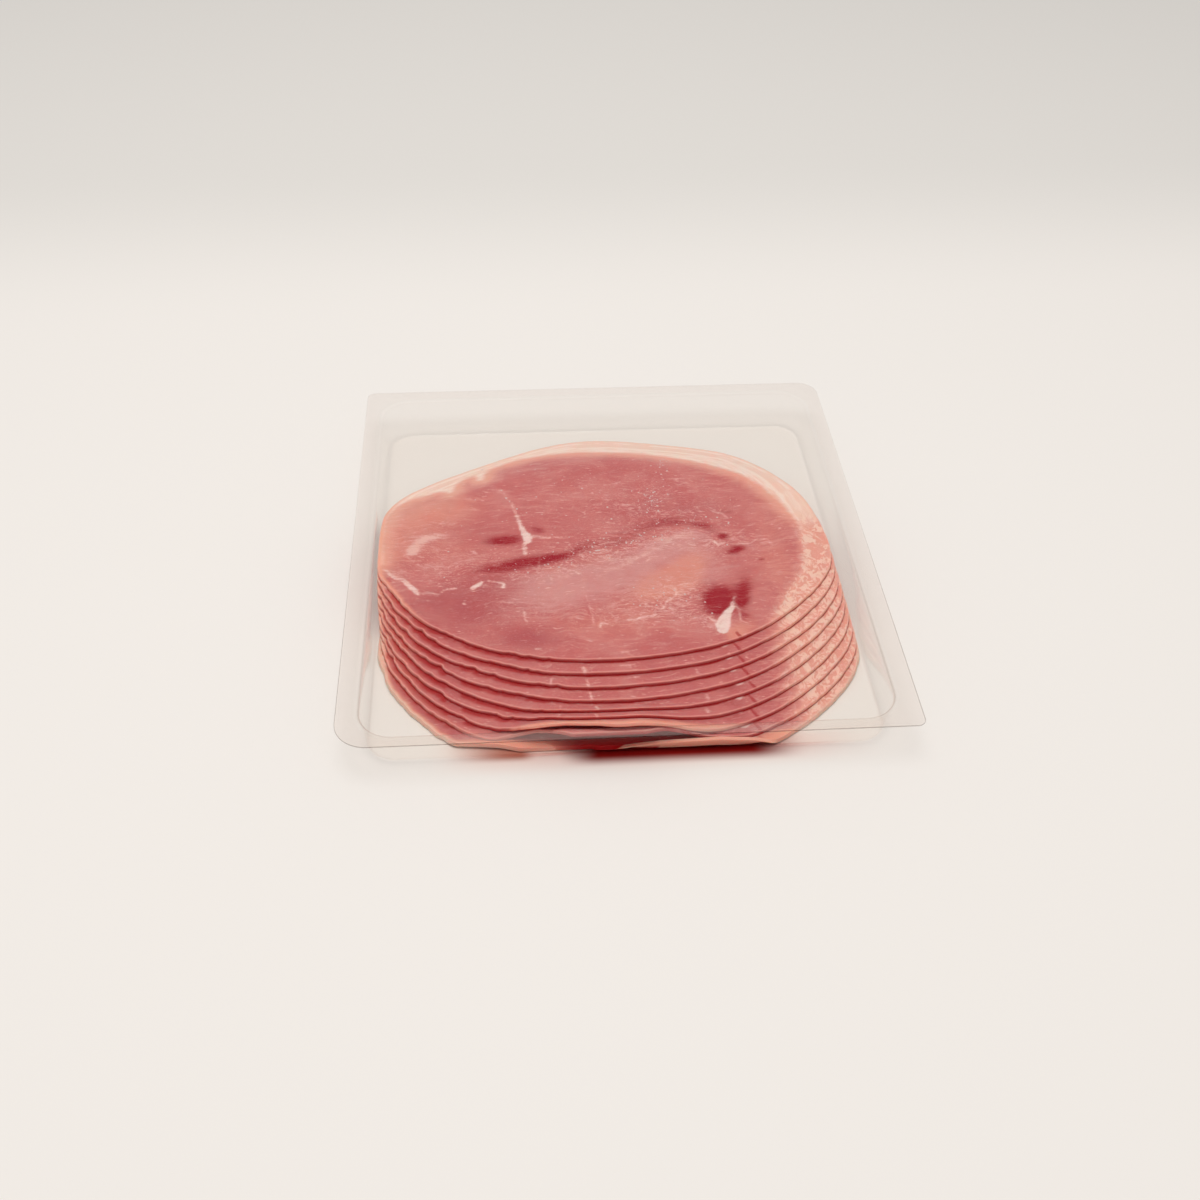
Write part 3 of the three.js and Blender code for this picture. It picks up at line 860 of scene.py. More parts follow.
def clear_plastic(name, settings, tint):
    """Clear film and sheet: see-through at right angles, brighter with reflections the flatter
    it is seen, with painted shade along cut edges and bends, and milky where it is welded."""
    material, tree, output = new_material(name)
    values = {
        field: add_node(tree, "ShaderNodeAttribute", out=2, attribute_name=field)
        for field in ("cut_edge", "bend", "weld", "juice")
    }
    shades = {
        name: (*getattr(settings, name), 1) for name in ("bend_tint", "edge_tint", "juice_and_shade_tint")
    }
    colour = paint(tree, values, shades, (*tint, 1), (
        ("bend", "bend_tint"), ("cut_edge", "edge_tint"), ("juice", "juice_and_shade_tint"),
    ))
    clear = add_node(tree, "ShaderNodeBsdfTransparent", {"Color": colour})
    place = add_node(tree, "ShaderNodeTexCoord", out=3)
    # Waves of about 25 mm from the forming, and a fine haze of scuffs
    waves, scuffs = (
        add_node(tree, "ShaderNodeTexNoise", {"Vector": place, "Scale": scale, "Detail": 2.0})
        for scale in (40.0, 900.0)
    )
    bump = add_node(
        tree, "ShaderNodeBump", {"Strength": 0.5, "Distance": 0.4 * MM, "Height": waves}
    )
    values["scuffed"] = add_node(
        tree, "ShaderNodeMapRange",
        {"Value": scuffs, "From Min": 0.3, "From Max": 0.8, "To Min": 0.0,
         "To Max": settings.milk},
    )
    values["facing"] = add_node(
        tree, "ShaderNodeLayerWeight", {"Blend": 0.5, "Normal": bump}, out=1
    )
    calculate(tree, values, (
        ("milk", "MULTIPLY_ADD", "weld", settings.weld_milk, "scuffed"),
        ("steep", "POWER", "facing", 5.0),
        ("shine", "MULTIPLY_ADD", "steep", 0.6, 0.003),
    ))
    body = add_node(
        tree, "ShaderNodeBsdfPrincipled",
        {"Base Color": (*settings.milk_colour, 1), "Roughness": 0.45, "IOR": 1.57},
    )
    mixed = add_node(tree, "ShaderNodeMixShader", {0: values["milk"], 1: clear, 2: body})
    gloss = add_node(
        tree, "ShaderNodeBsdfPrincipled",
        {"Base Color": (1, 1, 1, 1), "Metallic": 1.0, "Roughness": 0.06, "Normal": bump},
    )
    surface = add_node(tree, "ShaderNodeMixShader", {0: values["shine"], 1: mixed, 2: gloss})
    tree.links.new(surface, output.inputs["Surface"])
    return material


def meat_juice():
    """Clear, faintly pink cooking juice in drops: bright points where the lights reflect."""
    material, tree, output = new_material("clear_meat_juice")
    clear = add_node(tree, "ShaderNodeBsdfTransparent", {"Color": (1, 0.97, 0.96, 1)})
    gloss = add_node(
        tree, "ShaderNodeBsdfPrincipled",
        {"Base Color": (*linear("#FDE6E0"), 1), "Roughness": 0.15, "IOR": 1.34},
    )
    surface = add_node(tree, "ShaderNodeMixShader", {0: 0.7, 1: clear, 2: gloss})
    tree.links.new(surface, output.inputs["Surface"])
    return material


def matt_paper(settings):
    """A matt paper floor: even, without gloss, with the faintest clouding, with painted shade that
    makes it greyer behind, and with painted light and shade before the tray.
    """
    material, tree, output = new_material("matt_backdrop_paper")
    place = add_node(tree, "ShaderNodeTexCoord", out=3)
    sideways, back = (
        add_node(tree, "ShaderNodeSeparateXYZ", {0: place}, out=axis) for axis in (0, 1)
    )
    clouding = add_node(
        tree, "ShaderNodeTexNoise", {"Vector": place, "Scale": 6.0, "Detail": 3.0}
    )
    values = {
        "clouded": add_node(
            tree, "ShaderNodeMapRange", {"Value": clouding, "To Min": 0.0, "To Max": 0.12}
        ),
    }
    shades = {
        name: (*getattr(settings, name), 1) for name in ("far_paper", *(g[-1] for g in GLOWS))
    }
    shades["darker"] = (*(0.93 * c for c in settings.paper), 1)
    # Painted shade: the paper grows greyer far behind the pack
    bands = [("far_paper", 1.0, ((back, settings.fade_start, settings.fade_run),))]
    # Painted light and shade on the paper before the tray's front
    for front, full, left, left_run, right, right_run, cover, glow in GLOWS:
        bands.append((glow, cover, (
            (back, front, full - front), (back, GLOW_END[0], GLOW_END[1] - GLOW_END[0]),
            (sideways, left, left_run), (sideways, right, -right_run),
        )))
    for name, cover, limits in bands:
        values[name] = cover
        for source, low, run in limits:
            values["band"] = add_node(
                tree, "ShaderNodeMapRange",
                {"Value": source, "From Min": low, "From Max": low + run},
                interpolation_type="SMOOTHSTEP",
            )
            calculate(tree, values, ((name, "MULTIPLY", "band", name),))
    colour = paint(
        tree, values, shades, (*settings.paper, 1),
        (("clouded", "darker"), *((name, name) for name, *_ in bands)),
    )
    body = add_node(
        tree, "ShaderNodeBsdfPrincipled",
        {"Base Color": colour, "Roughness": 0.9, "Specular IOR Level": 0.1},
    )
    tree.links.new(body, output.inputs["Surface"])
    return material


# ---- The tray and the film -------------------------------------------------------------------


def rounded_ring(left, right, front, back, radii):
    """A rectangle with rounded corners as points, anticlockwise from the front left corner, with
    SIDE_STEPS points along each side."""
    corners = [
        (left + radii[0], front + radii[0], radii[0], math.pi),
        (right - radii[1], front + radii[1], radii[1], 1.5 * math.pi),
        (right - radii[2], back - radii[2], radii[2], 0.0),
        (left + radii[3], back - radii[3], radii[3], 0.5 * math.pi),
    ]
    arcs = []
    for x, y, radius, begin in corners:
        angles = begin + np.linspace(0, 0.5 * math.pi, CORNER_STEPS + 1)
        arcs.append(np.stack([x + radius * np.cos(angles), y + radius * np.sin(angles)], axis=1))
    ring = []
    for arc, following in zip(arcs, arcs[1:] + arcs[:1]):
        ring.append(arc)
        parts = np.linspace(0, 1, SIDE_STEPS + 2)[1:-1, None]
        ring.append(arc[-1] + (following[0] - arc[-1]) * parts)
    return np.concatenate(ring)


def cavity_ring(z, inset):
    """The cavity's outline where its leaning walls stand at height z, moved inwards by inset."""
    depth = (TRAY_HEIGHT - z) / TRAY_HEIGHT
    side = SIDE_DRAFT * depth + inset
    end = END_DRAFT * depth + inset
    return rounded_ring(
        -TRAY_WIDTH / 2 + SIDE_FLANGE + side, TRAY_WIDTH / 2 - SIDE_FLANGE - side,
        -TRAY_LENGTH / 2 + FRONT_FLANGE + end, TRAY_LENGTH / 2 - SIDE_FLANGE - end,
        [RIM_RADIUS - side] * 4,
    )


def flange_ring(inset):
    """The flange's outline, moved inwards by inset."""
    return rounded_ring(
        -TRAY_WIDTH / 2 + inset, TRAY_WIDTH / 2 - inset,
        -TRAY_LENGTH / 2 + inset, TRAY_LENGTH / 2 - inset,
        [max(radius - inset, 0.2) for radius in FLANGE_RADII],
    )


def ladder(ring):
    """Quads that close a ring of points, given by their numbers, from side to side."""
    half = len(ring) // 2
    near, far = ring[:half], ring[::-1][:half]
    return np.stack([near[:-1], near[1:], far[1:], far[:-1]], axis=1)


def skin_over(rings):
    """Points and quads of a closed skin over rings of equally many points. The first ring's
    middle faces down and the last ring's middle up."""
    count = len(rings[0])
    points = np.concatenate(rings)
    index = np.arange(count)
    following = np.roll(index, -1)
    quads = [ladder(index)[:, ::-1], ladder(index + (len(rings) - 1) * count)]
    for r in range(len(rings) - 1):
        low, high = r * count, (r + 1) * count
        quads.append(np.stack([low + index, low + following, high + following, high + index], 1))
    return points, np.concatenate(quads)


def shrink(ring, shares):
    """Rings inside a ring at some shares of its size, towards its middle."""
    middle = ring.mean(axis=0)
    return [middle + (ring - middle) * share for share in shares]


def at_height(ring, z):
    return np.column_stack([ring, np.full(len(ring), float(z))])


def tray_rings():
    """The tray's rings from the middle of its underside over the flange to the middle of its
    floor, each with its cut_edge, bend and weld values."""
    rings = []

    def add(ring, z, cut_edge=0.0, bend=0.0, weld=0.0):
        rings.append((at_height(ring, z), cut_edge, bend, weld))

    angles = np.linspace(0, 0.5 * math.pi, FILLET_STEPS + 1)
    fillet = BASE_FILLET + WALL
    under = TRAY_HEIGHT - WALL
    for angle in angles:
        ring = cavity_ring(fillet, -WALL + fillet * (1 - math.sin(angle)))
        add(ring, fillet * (1 - math.cos(angle)), bend=0.2 * math.sin(2 * angle) ** 3)
    for z in np.linspace(fillet + 1, TRAY_HEIGHT - WALL - 1.0, 6):
        add(cavity_ring(z, -WALL), z)
    for angle in angles[1:]:
        ring = cavity_ring(under, -WALL - RIM_OUTSIDE * (1 - math.cos(angle)))
        z = under - RIM_OUTSIDE * (1 - math.sin(angle))
        add(ring, z, bend=0.4 * math.sin(2 * angle) ** 3)
    for inset, z, cut_edge, weld in (
        (0.2, under, 0.0, 0.0), (0.05, under + 0.02, 0.6, 0.0),
        (0.0, TRAY_HEIGHT - WALL / 2, 1.0, 0.0), (0.04, TRAY_HEIGHT - 0.02, 0.6, 0.0),
        (0.2, TRAY_HEIGHT, 0.0, 0.3), (1.2, TRAY_HEIGHT, 0.0, 1.0),
    ):
        add(flange_ring(inset), z, cut_edge=cut_edge, weld=weld)
    add(cavity_ring(TRAY_HEIGHT, -2.6), TRAY_HEIGHT, weld=1.0)
    for angle in angles:
        ring = cavity_ring(TRAY_HEIGHT, -RIM_INSIDE * (1 - math.sin(angle)))
        z = TRAY_HEIGHT - RIM_INSIDE * (1 - math.cos(angle))
        add(ring, z, bend=math.sin(2 * angle) ** 5)
    for z in np.linspace(TRAY_HEIGHT - 2.4, fillet + 1, 6):
        add(cavity_ring(z, 0.0), z)
    for angle in angles[::-1]:
        ring = cavity_ring(fillet, BASE_FILLET * (1 - math.sin(angle)))
        add(ring, WALL + BASE_FILLET * (1 - math.cos(angle)), bend=0.2 * math.sin(2 * angle) ** 3)
    return rings


def closed_skin(name, rings):
    """A closed piece from rings with their three attribute values, with both middles filled."""
    first, last = rings[0], rings[-1]
    low = [(r, *first[1:]) for r in shrink(first[0], FLOOR_SHARES[::-1])]
    high = [(r, *last[1:]) for r in shrink(last[0], FLOOR_SHARES)]
    full = low + rings + high
    points, quads = skin_over([r[0] for r in full])
    count = len(first[0])
    fields = {
        field: np.repeat([r[i] for r in full], count)
        for i, field in enumerate(("cut_edge", "bend", "weld"), start=1)
    }
    # The painted shade on bends and edges fades towards the back, where they hardly show
    heavy = 0.12 + 0.88 * smoothstep(-points[:, 1], -40, 90)
    fields["bend"] *= heavy
    fields["cut_edge"] *= heavy
    # Along the front of the floor the sheet is tinted red: meat juice gathered there, and painted
    # red shade
    x, y, z = points.T
    wet = window(x, -50, -30, 40, 78) * smoothstep(-y, 88, 93)
    fields["juice"] = wet * smoothstep(z, 0.5, 0.6) * smoothstep(-z, -WALL - BASE_FILLET, -WALL)
    return mesh_object(name, points, quads, fields)


def film_rings():
    """The lidding film's rings: its lower face inwards to outwards, its edge, and back."""
    low, high = TRAY_HEIGHT + FILM_GAP, TRAY_HEIGHT + FILM_GAP + FILM
    edge = [
        (at_height(flange_ring(inset), z), cut_edge, 0.0, weld)
        for inset, z, cut_edge, weld in (
            (1.0, low, 0.0, 0.5), (0.12, low, 0.0, 0.4), (0.04, low, 0.5, 0.4),
            (0.02, (low + high) / 2, 1.0, 0.4), (0.04, high, 0.5, 0.4), (0.12, high, 0.0, 0.4),
            (1.0, high, 0.0, 0.4),
        )
    ]
    faces = []
    for z in (low, high):
        rim = at_height(cavity_ring(TRAY_HEIGHT, -FILM_RIM), z)
        faces.append([(ring, 0.0, 0.0, 0.0) for ring in (*shrink(rim, FILM_SHARES), rim)])
    return faces[0] + edge + faces[1][::-1]


# ---- The slices ------------------------------------------------------------------------------


def edge_radius(outline, angles):
    """How far a closed outline is from its middle in each direction."""
    own = np.arctan2(outline[:, 1], outline[:, 0])
    order = np.argsort(own)
    return np.interp(
        angles, own[order], np.hypot(outline[:, 0], outline[:, 1])[order], period=2 * math.pi
    )


def torn(angles, seed, slice_number):
    """How far a slice's edge departs from its outline: slow waves, and on the left front small
    tears where the slicer pulled the meat."""
    random = np.random.default_rng(seed + slice_number)
    off = np.zeros(angles.shape)
    for turns in (5, 9, 14, 23, 37, 61, 90):
        off += 0.55 / turns ** 0.45 * random.uniform(0.3, 1) * np.cos(
            turns * angles + random.uniform(0, 2 * math.pi)
        ) * 0.5
    for _ in range(26):
        middle = math.radians(random.uniform(186, 250))
        width = random.uniform(0.010, 0.026)
        turn = (angles - middle + math.pi) % (2 * math.pi) - math.pi
        shape = np.exp(-abs(turn) / width)
        off -= random.uniform(0.15, 0.65) * shape
    return off


def slice_centre(number, settings):
    return np.array([settings.step_right * number, -settings.step_forward * number]) / MM


def front_end(x, number):
    """Where the front wall ends a slice at places across the tray, on the flat sheet."""
    if number < SLICES - 2:
        return np.interp(x, *zip(*UPPER_FRONT)) + 0.4 * (SLICES - 2 - number)
    if number == SLICES - 2:
        return np.interp(x, *zip(*NEXT_FRONT))
    height = np.interp(x, *zip(*LOWEST_FRONT))
    turn = np.arccos(np.clip(1 - height / BEND_RADIUS, math.cos(BEND_TURN), 1))
    straight = np.maximum(height - BEND_RADIUS * (1 - math.cos(BEND_TURN)), 0)
    return BEND_START - BEND_RADIUS * turn - straight / math.sin(BEND_TURN) - np.minimum(height, 0)


def slice_reach(angles, number, settings, outline):
    """A slice's edge in each direction from its middle, cut short softly at the walls."""
    centre = slice_centre(number, settings)
    free = edge_radius(outline, angles) + torn(angles, settings.seed, number)
    if number == SLICES - 1:
        turn = np.degrees(angles) % 360
        free = free + 1.8 * window(turn, 165, 190, 215, 240)
    side_wall = TRAY_WIDTH / 2 - SIDE_FLANGE - SIDE_DRAFT - WALL_CLEARANCE
    across, along = np.cos(angles), np.sin(angles)
    reach = free
    for _ in range(4):
        front = front_end(centre[0] + reach * across, number)
        limits = [
            free,
            (front - centre[1]) / np.minimum(along, -1e-4),
            (side_wall - centre[0]) / np.maximum(across, 1e-4),
            (-side_wall - centre[0]) / np.minimum(across, -1e-4),
        ]
        least = np.min(limits, axis=0)
        reach = least * sum((limit / least) ** -SOFT_CUT for limit in limits) ** (-1 / SOFT_CUT)
    return reach


def bend_up(y, level):
    """Bends the front of the flat lowest slice up along the tray's front wall."""
    past = np.maximum(BEND_START - y, 0)
    turn = np.minimum(past / BEND_RADIUS, BEND_TURN)
    straight = past - turn * BEND_RADIUS
    radius = BEND_RADIUS - level
    bent_y = BEND_START - radius * np.sin(turn) - straight * math.cos(BEND_TURN)
    bent_level = BEND_RADIUS - radius * np.cos(turn) + straight * math.sin(BEND_TURN)
    return np.where(past > 0, bent_y, y), bent_level


def slice_shell(number, settings, outline, rings):
    """A flat slice's points as angle, distance, level, distance from the rim and share of cut
    face, and its quads in rings from its middle to its edge. Its upper grid is square in the
    middle and bends round to follow the edge."""
    steps = np.linspace(-1, 1, 2 * rings + 1)
    a, b = np.meshgrid(steps, steps)
    wide = abs(a) > abs(b)
    with np.errstate(divide="ignore", invalid="ignore"):
        angle = np.where(wide, math.pi / 4 * b / a, math.pi / 2 - math.pi / 4 * a / b)
    angle[rings, rings] = 0.0
    angle = np.where(np.where(wide, a, b) < 0, angle + math.pi, angle).ravel()
    crowd = 1.15 if number == 0 else 1.3
    share = (1 - (1 - np.maximum(abs(a), abs(b))) ** crowd).ravel()
    side = 2 * rings + 1
    index = np.arange(side * side).reshape(side, side)
    loop = np.concatenate([index[0, :-1], index[:-1, -1], index[-1, :0:-1], index[:0:-1, 0]])
    count = len(loop)

    reach = slice_reach(angle, number, settings, outline)
    thickness = settings.thickness / MM
    edge_angle, edge_reach = angle[loop], reach[loop]
    flat = np.ones(side * side)
    top_rims = reach * (1 - share) + TOP_INSET
    parts = [(angle, share * (reach - TOP_INSET), thickness * flat, top_rims, 0 * flat)]
    ones = np.ones(count)
    for inset, part, more, face in WEDGE_EDGE if number == SLICES - 1 else EDGE:
        level = (part * thickness + more) * ones
        parts.append((edge_angle, edge_reach - inset, level, inset * ones, face * ones))
    for inner in np.linspace(1, 0.04, 20)[1:]:
        radius = inner * (edge_reach - 0.3)
        parts.append((edge_angle, radius, 0 * ones, edge_reach - radius, 0 * ones))
    loops = [loop] + [side * side + i * count + np.arange(count) for i in range(len(parts) - 1)]
    quads = [grid_cells(index), ladder(loops[-1])[:, ::-1]]
    for upper, lower in zip(loops, loops[1:]):
        quads.append(np.stack([np.roll(upper, -1), upper, lower, np.roll(lower, -1)], axis=1))
    return [np.concatenate(column) for column in zip(*parts)], np.concatenate(quads)


def slice_fields(number, settings, outline, across, along, angles, levels, rims, faces):
    """All attributes of a slice's points: those of its plan, and those of its edge and of the
    slice above it."""
    lowest, humped = number == SLICES - 1, number == SLICES - 3
    x, y = np.stack([across, along]) + slice_centre(number, settings)[:, None]
    fields = ham_fields(across, along, number)
    fields["rim"] = rims
    fields["face"] = faces
    fields["cut"] = np.full(across.shape, number * settings.pitch / MM / PLAN_SPAN)
    fields["flank"] = smoothstep(-along + 0.25 * across, 4, 18) * smoothstep(across, 30, 45)
    # Painted shade: the undersides of all but the lowest slice get the shaded, hollow colour
    bottom = (levels < 0.1) & (not lowest)
    fields["under"] = np.where(bottom, 0.5, 0.0)
    fields["hidden"] = np.where(bottom, 1.0, 0.0)
    # Painted shade on the top just in front of the edge of the slice above, wider on the left, and
    # the darkest painted shade where that slice covers it
    if number > 0:
        above = slice_centre(number - 1, settings)
        above_angle = np.arctan2(y - above[1], x - above[0])
        above_edge = slice_reach(above_angle, number - 1, settings, outline)
        gap = np.maximum(np.hypot(y - above[1], x - above[0]) - above_edge, 0)
        left = smoothstep(-across, 10, 60) * smoothstep(-along, -5, 15)
        wide = 1.2 + 2.4 * left
        shade = smoothstep(-gap, -wide, -0.1 * wide) * (0.6 if lowest else 1)
        if humped:
            shade = shade * (1 - 0.7 * window(x, -42, -30, 20, 50))
        fields["under"] = np.maximum(fields["under"], shade * (1 - 0.8 * fields["flank"]))
        fields["hidden"] = np.maximum(fields["hidden"], smoothstep(-gap, -0.2, 0))
    if number >= SLICES - 2:
        # Less painted shade where light reaches in under the hump's left end
        lit = smoothstep(-x, 16, 30) * smoothstep(-y, 82, 86)
        for name in ("hidden", "under", "face"):
            fields[name] = fields[name] * (1 - 0.85 * lit)
    turn = np.degrees(angles) % 360
    # Thin edges that light shines through: on the left side, at the front left and at the front
    glowing = [
        (0.35 + 0.5 * (lowest or number == 0)) * window(turn, 140, 170, 198, 220)
        * smoothstep(-rims, -2.8, -0.2)
    ]
    if number >= SLICES - 2:
        glowing.append(
            (0.8 if lowest else 0.3) * window(turn, 185, 205, 235, 255)
            * smoothstep(-rims, -3.6, -0.2)
        )
    if lowest or humped:
        front = smoothstep(-y, 86, 90) * smoothstep(-abs(x), -80, -60)
        glowing.append(front * smoothstep(-rims, -9 if lowest else -5.5, -0.5))
    fields["peach"] = np.max(glowing, axis=0)
    fields["fringe"] = np.zeros(across.shape)
    # Painted light: the lowest slice's outer edge at the sides is painted pale, as light through
    # its thin edge
    if lowest:
        sides = np.maximum(
            window(turn, 150, 180, 212, 232),
            0.7 * smoothstep(turn, 305, 325) + 0.7 * smoothstep(-turn, -30, -5),
        )
        fields["fringe"] = sides * smoothstep(-rims, -2.2, -0.2)

    # The whole pile swells a little, and each edge stands a little off the slice below in places
    random = np.random.default_rng(settings.seed + 100)
    swell = np.zeros(across.shape)
    for length in (60, 34, 19):
        turn, shift = random.uniform(0, math.pi), random.uniform(0, 2 * math.pi)
        swell += np.cos(
            (x * math.cos(turn) + y * math.sin(turn)) * 2 * math.pi / length + shift
        ) * length / 60
    random = np.random.default_rng(settings.seed + 200 + number)
    lift = 0.08 * smoothstep(-rims, -6, 0) * sum(
        0.5 + 0.5 * np.cos(turns * angles + random.uniform(0, 2 * math.pi)) for turns in (11, 17)
    ) / 2
    # The lowest slice stands off the floor at its front left
    rise = 0.6 * smoothstep(-x, 34, 44) * smoothstep(-y, 82, 90) if lowest else 0
    fields["crumple"] = (swell * 0.03 + lift * (not lowest) + rise) * MM
    return fields


def slice_mesh(number, settings, outline, rings):
    """A flat slice at its place over the tray, with its attributes and its UV map."""
    shell, quads = slice_shell(number, settings, outline, rings)
    angles, radii, levels, rims, faces = shell
    across, along = radii * np.cos(angles), radii * np.sin(angles)
    fields = slice_fields(
        number, settings, outline, across, along, angles, levels, rims, faces
    )
    x, y = np.stack([across, along]) + slice_centre(number, settings)[:, None]
    if number == SLICES - 1:
        y, levels = bend_up(y, levels)
    made = mesh_object("flat_slice", np.column_stack([x, y, levels]), quads, fields)
    corner = np.zeros(len(made.data.loops), np.int32)
    made.data.loops.foreach_get("vertex_index", corner)
    layer = made.data.uv_layers.new(name="slice")
    plan = np.column_stack([across, along])[corner] / PLAN_SPAN + 0.5
    layer.data.foreach_set("uv", plan.astype(np.float32).ravel())
    return made


# ---- Settings --------------------------------------------------------------------------------


def tone(label, description, value):
    """A colour setting, from an sRGB hex value or from the light that passes in each channel."""
    return FloatVectorProperty(
        name=label, description=description, subtype="COLOR", min=0, max=1,
        default=linear(value) if isinstance(value, str) else value,
    )


def length(label, description, value):
    return FloatProperty(name=label, description=description, default=value, unit="LENGTH")


class HamColours(bpy.types.PropertyGroup):
    meat: tone("Meat", "The ham's middle pink", "#C76D6B")
    meat_light: tone("Light meat", "Paler muscle bundles", "#D58982")
    meat_pale: tone("Fibres", "Fine pale fibres", "#E0A69C")
    meat_dark: tone("Dark meat", "Duller, darker muscle", "#AE4E54")
    salmon: tone("Orange muscle", "The paler orange muscle", "#E29684")
    haze: tone("Haze", "Milky skin under the film", "#D99F9A")
    deep_red: tone("Deep red", "Juice and vessels", "#A01C2A")
    blush: tone("Blush", "Meat close to the fat", "#ECAA96")
    marbling: tone("Marbling", "Fine threads of fat", "#F0C4BA")
    sinew: tone("Connective tissue", "Tendon and fascia", "#F6DAD2")
    fat: tone("Fat", "The rim of fat", "#FBDACC")
    fat_deep: tone("Fat streaks", "Darker streaks in the fat", "#F4C8B6")
    rind: tone("Rind", "The fat's outer edge", "#F1BCA6")
    flank: tone("Flank", "Orange meat between the flecks", "#E8A090")
    fleck: tone("Flecks", "Flecks of fat on the flank", "#F4C6B4")
    peach: tone("Peach", "Thin outer edges that light shines through", "#EFA78E")
    # Painted highlight: the pale line along each cut top edge
    rim: tone("Edge line", "The pale line on a cut edge", "#EDB4A8")
    # Painted shade: the dark red of the cut faces and of the shade under each edge; it also colours
    # the dark seams
    juice: tone("Edge juice", "Dark juice under an edge", "#AE1E24")
    # Painted shade: meat in the shade of another slice, and the slices' undersides
    painted_hollow_shade: tone("Hidden meat", "Wet meat in the shade of another slice", "#B10910")
    fat_edge: tone("Fat edge", "The cut edge of the fat", "#ECA893")
    # Painted light: the pale colour of light through the lowest slice's thin edge
    fringe: tone("Fringe", "The thin see-through edge of the lowest slice", "#E8BFAC")


class SliceSettings(bpy.types.PropertyGroup):
    thickness: length("Thickness", "Thickness of a slice", 1.47 * MM)
    pitch: length("Pitch", "Height from one slice to the next", 1.5 * MM)
    step_forward: length(
        "Step forward", "How far a slice lies in front of the one above it", 4.95 * MM
    )
    step_right: length(
        "Step right", "How far a slice lies to the right of the one above it", 0.5 * MM
    )
    drape_start: length(
        "Drape start", "How far a slice reaches level past the edge under it", 10 * MM
    )
    drape_run: length("Drape run", "Over how far it then sinks", 12 * MM)
    hump_height: length("Hump height", "How high the front edges buckle up", 8.2 * MM)
    seed: IntProperty(name="Seed", description="Choice of tears and swells", default=7, min=0)


class PlasticSettings(bpy.types.PropertyGroup):
    tint: tone("Tray tint", "Light that one face of the tray lets through", (0.988, 0.982, 0.976))
    film_tint: tone(
        "Film tint", "Light that one face of the film lets through", (0.993, 0.991, 0.988)
    )
    # Painted shade: bends and cut edges let less light through, standing in for the dark lines that
    # refraction makes there
    bend_tint: tone("Bend tint", "Light that passes a bend", (0.84, 0.79, 0.77))
    edge_tint: tone("Edge tint", "Light that passes a cut edge", (0.5, 0.46, 0.44))
    # Painted shade as well as juice: this tint also reddens the shade at the tray's front foot
    juice_and_shade_tint: tone(
        "Juice tint", "Light that passes the juice in the tray's front corner", (0.6, 0.12, 0.08)
    )
    milk: FloatProperty(
        name="Scuffs", description="Cover of fine scuffs", default=0.003, min=0, max=1,
        subtype="FACTOR",
    )
    weld_milk: FloatProperty(
        name="Weld haze", description="Cover of the haze on the weld", default=0.08, min=0, max=1,
        subtype="FACTOR",
    )
    # The haze is pink: the weld's own haze, tinted as painted light bounced from the ham
    milk_colour: tone("Haze colour", "Colour of scuffs and weld", "#EBD6CE")


class StageSettings(bpy.types.PropertyGroup):
    paper: tone("Paper", "Colour of the backdrop paper", "#F2EDE8")
    # Painted shade: the greyer colour of the paper far behind the pack
    far_paper: tone("Far paper", "Colour of the paper far behind the pack", "#E5E1DC")
    # Painted light and shade on the paper before the tray
    glow: tone("Glow", "Paper in the light that came through the meat", "#E8A898")
    painted_red_shadow: tone("Deep glow", "The same right at the tray's foot", "#7E0C08")
    painted_brown_shadow: tone("Brown glow", "The same through the fat edge at the front left", "#A85032")
    world: FloatProperty(
        name="Room light", description="Strength of the light from all round", default=0.55, min=0
    )
    key: FloatProperty(
        name="Key light", description="Power of the soft light above, in watts", default=11.2, min=0
    )
    fade_start: length("Fade start", "Where the paper behind the pack grows greyer", 0.19)
    fade_run: length("Fade run", "Over how far the paper grows greyer", 0.17)


# ---- Operators -------------------------------------------------------------------------------


class HAMPACK_OT_tray(bpy.types.Operator):
    """Makes the clear thermoformed tray"""

    bl_idname = "ham_pack.tray"
    bl_label = "Tray"

    def execute(self, context):
        settings = context.scene.ham_plastic
        material = clear_plastic("clear_pet_thermoformed", settings, settings.tint)
        finish_piece(closed_skin("clear_tray", tray_rings()), material, "tray_pet", "tray")
        return {"FINISHED"}


class HAMPACK_OT_film(bpy.types.Operator):
    """Makes the lidding film that is welded on the tray's flange"""

    bl_idname = "ham_pack.film"
    bl_label = "Lidding film"

    def execute(self, context):
        settings = context.scene.ham_plastic
        material = clear_plastic("clear_lidding_film", settings, settings.film_tint)
        finish_piece(closed_skin("clear_film", film_rings()), material, "film", "lid_film")
        return {"FINISHED"}


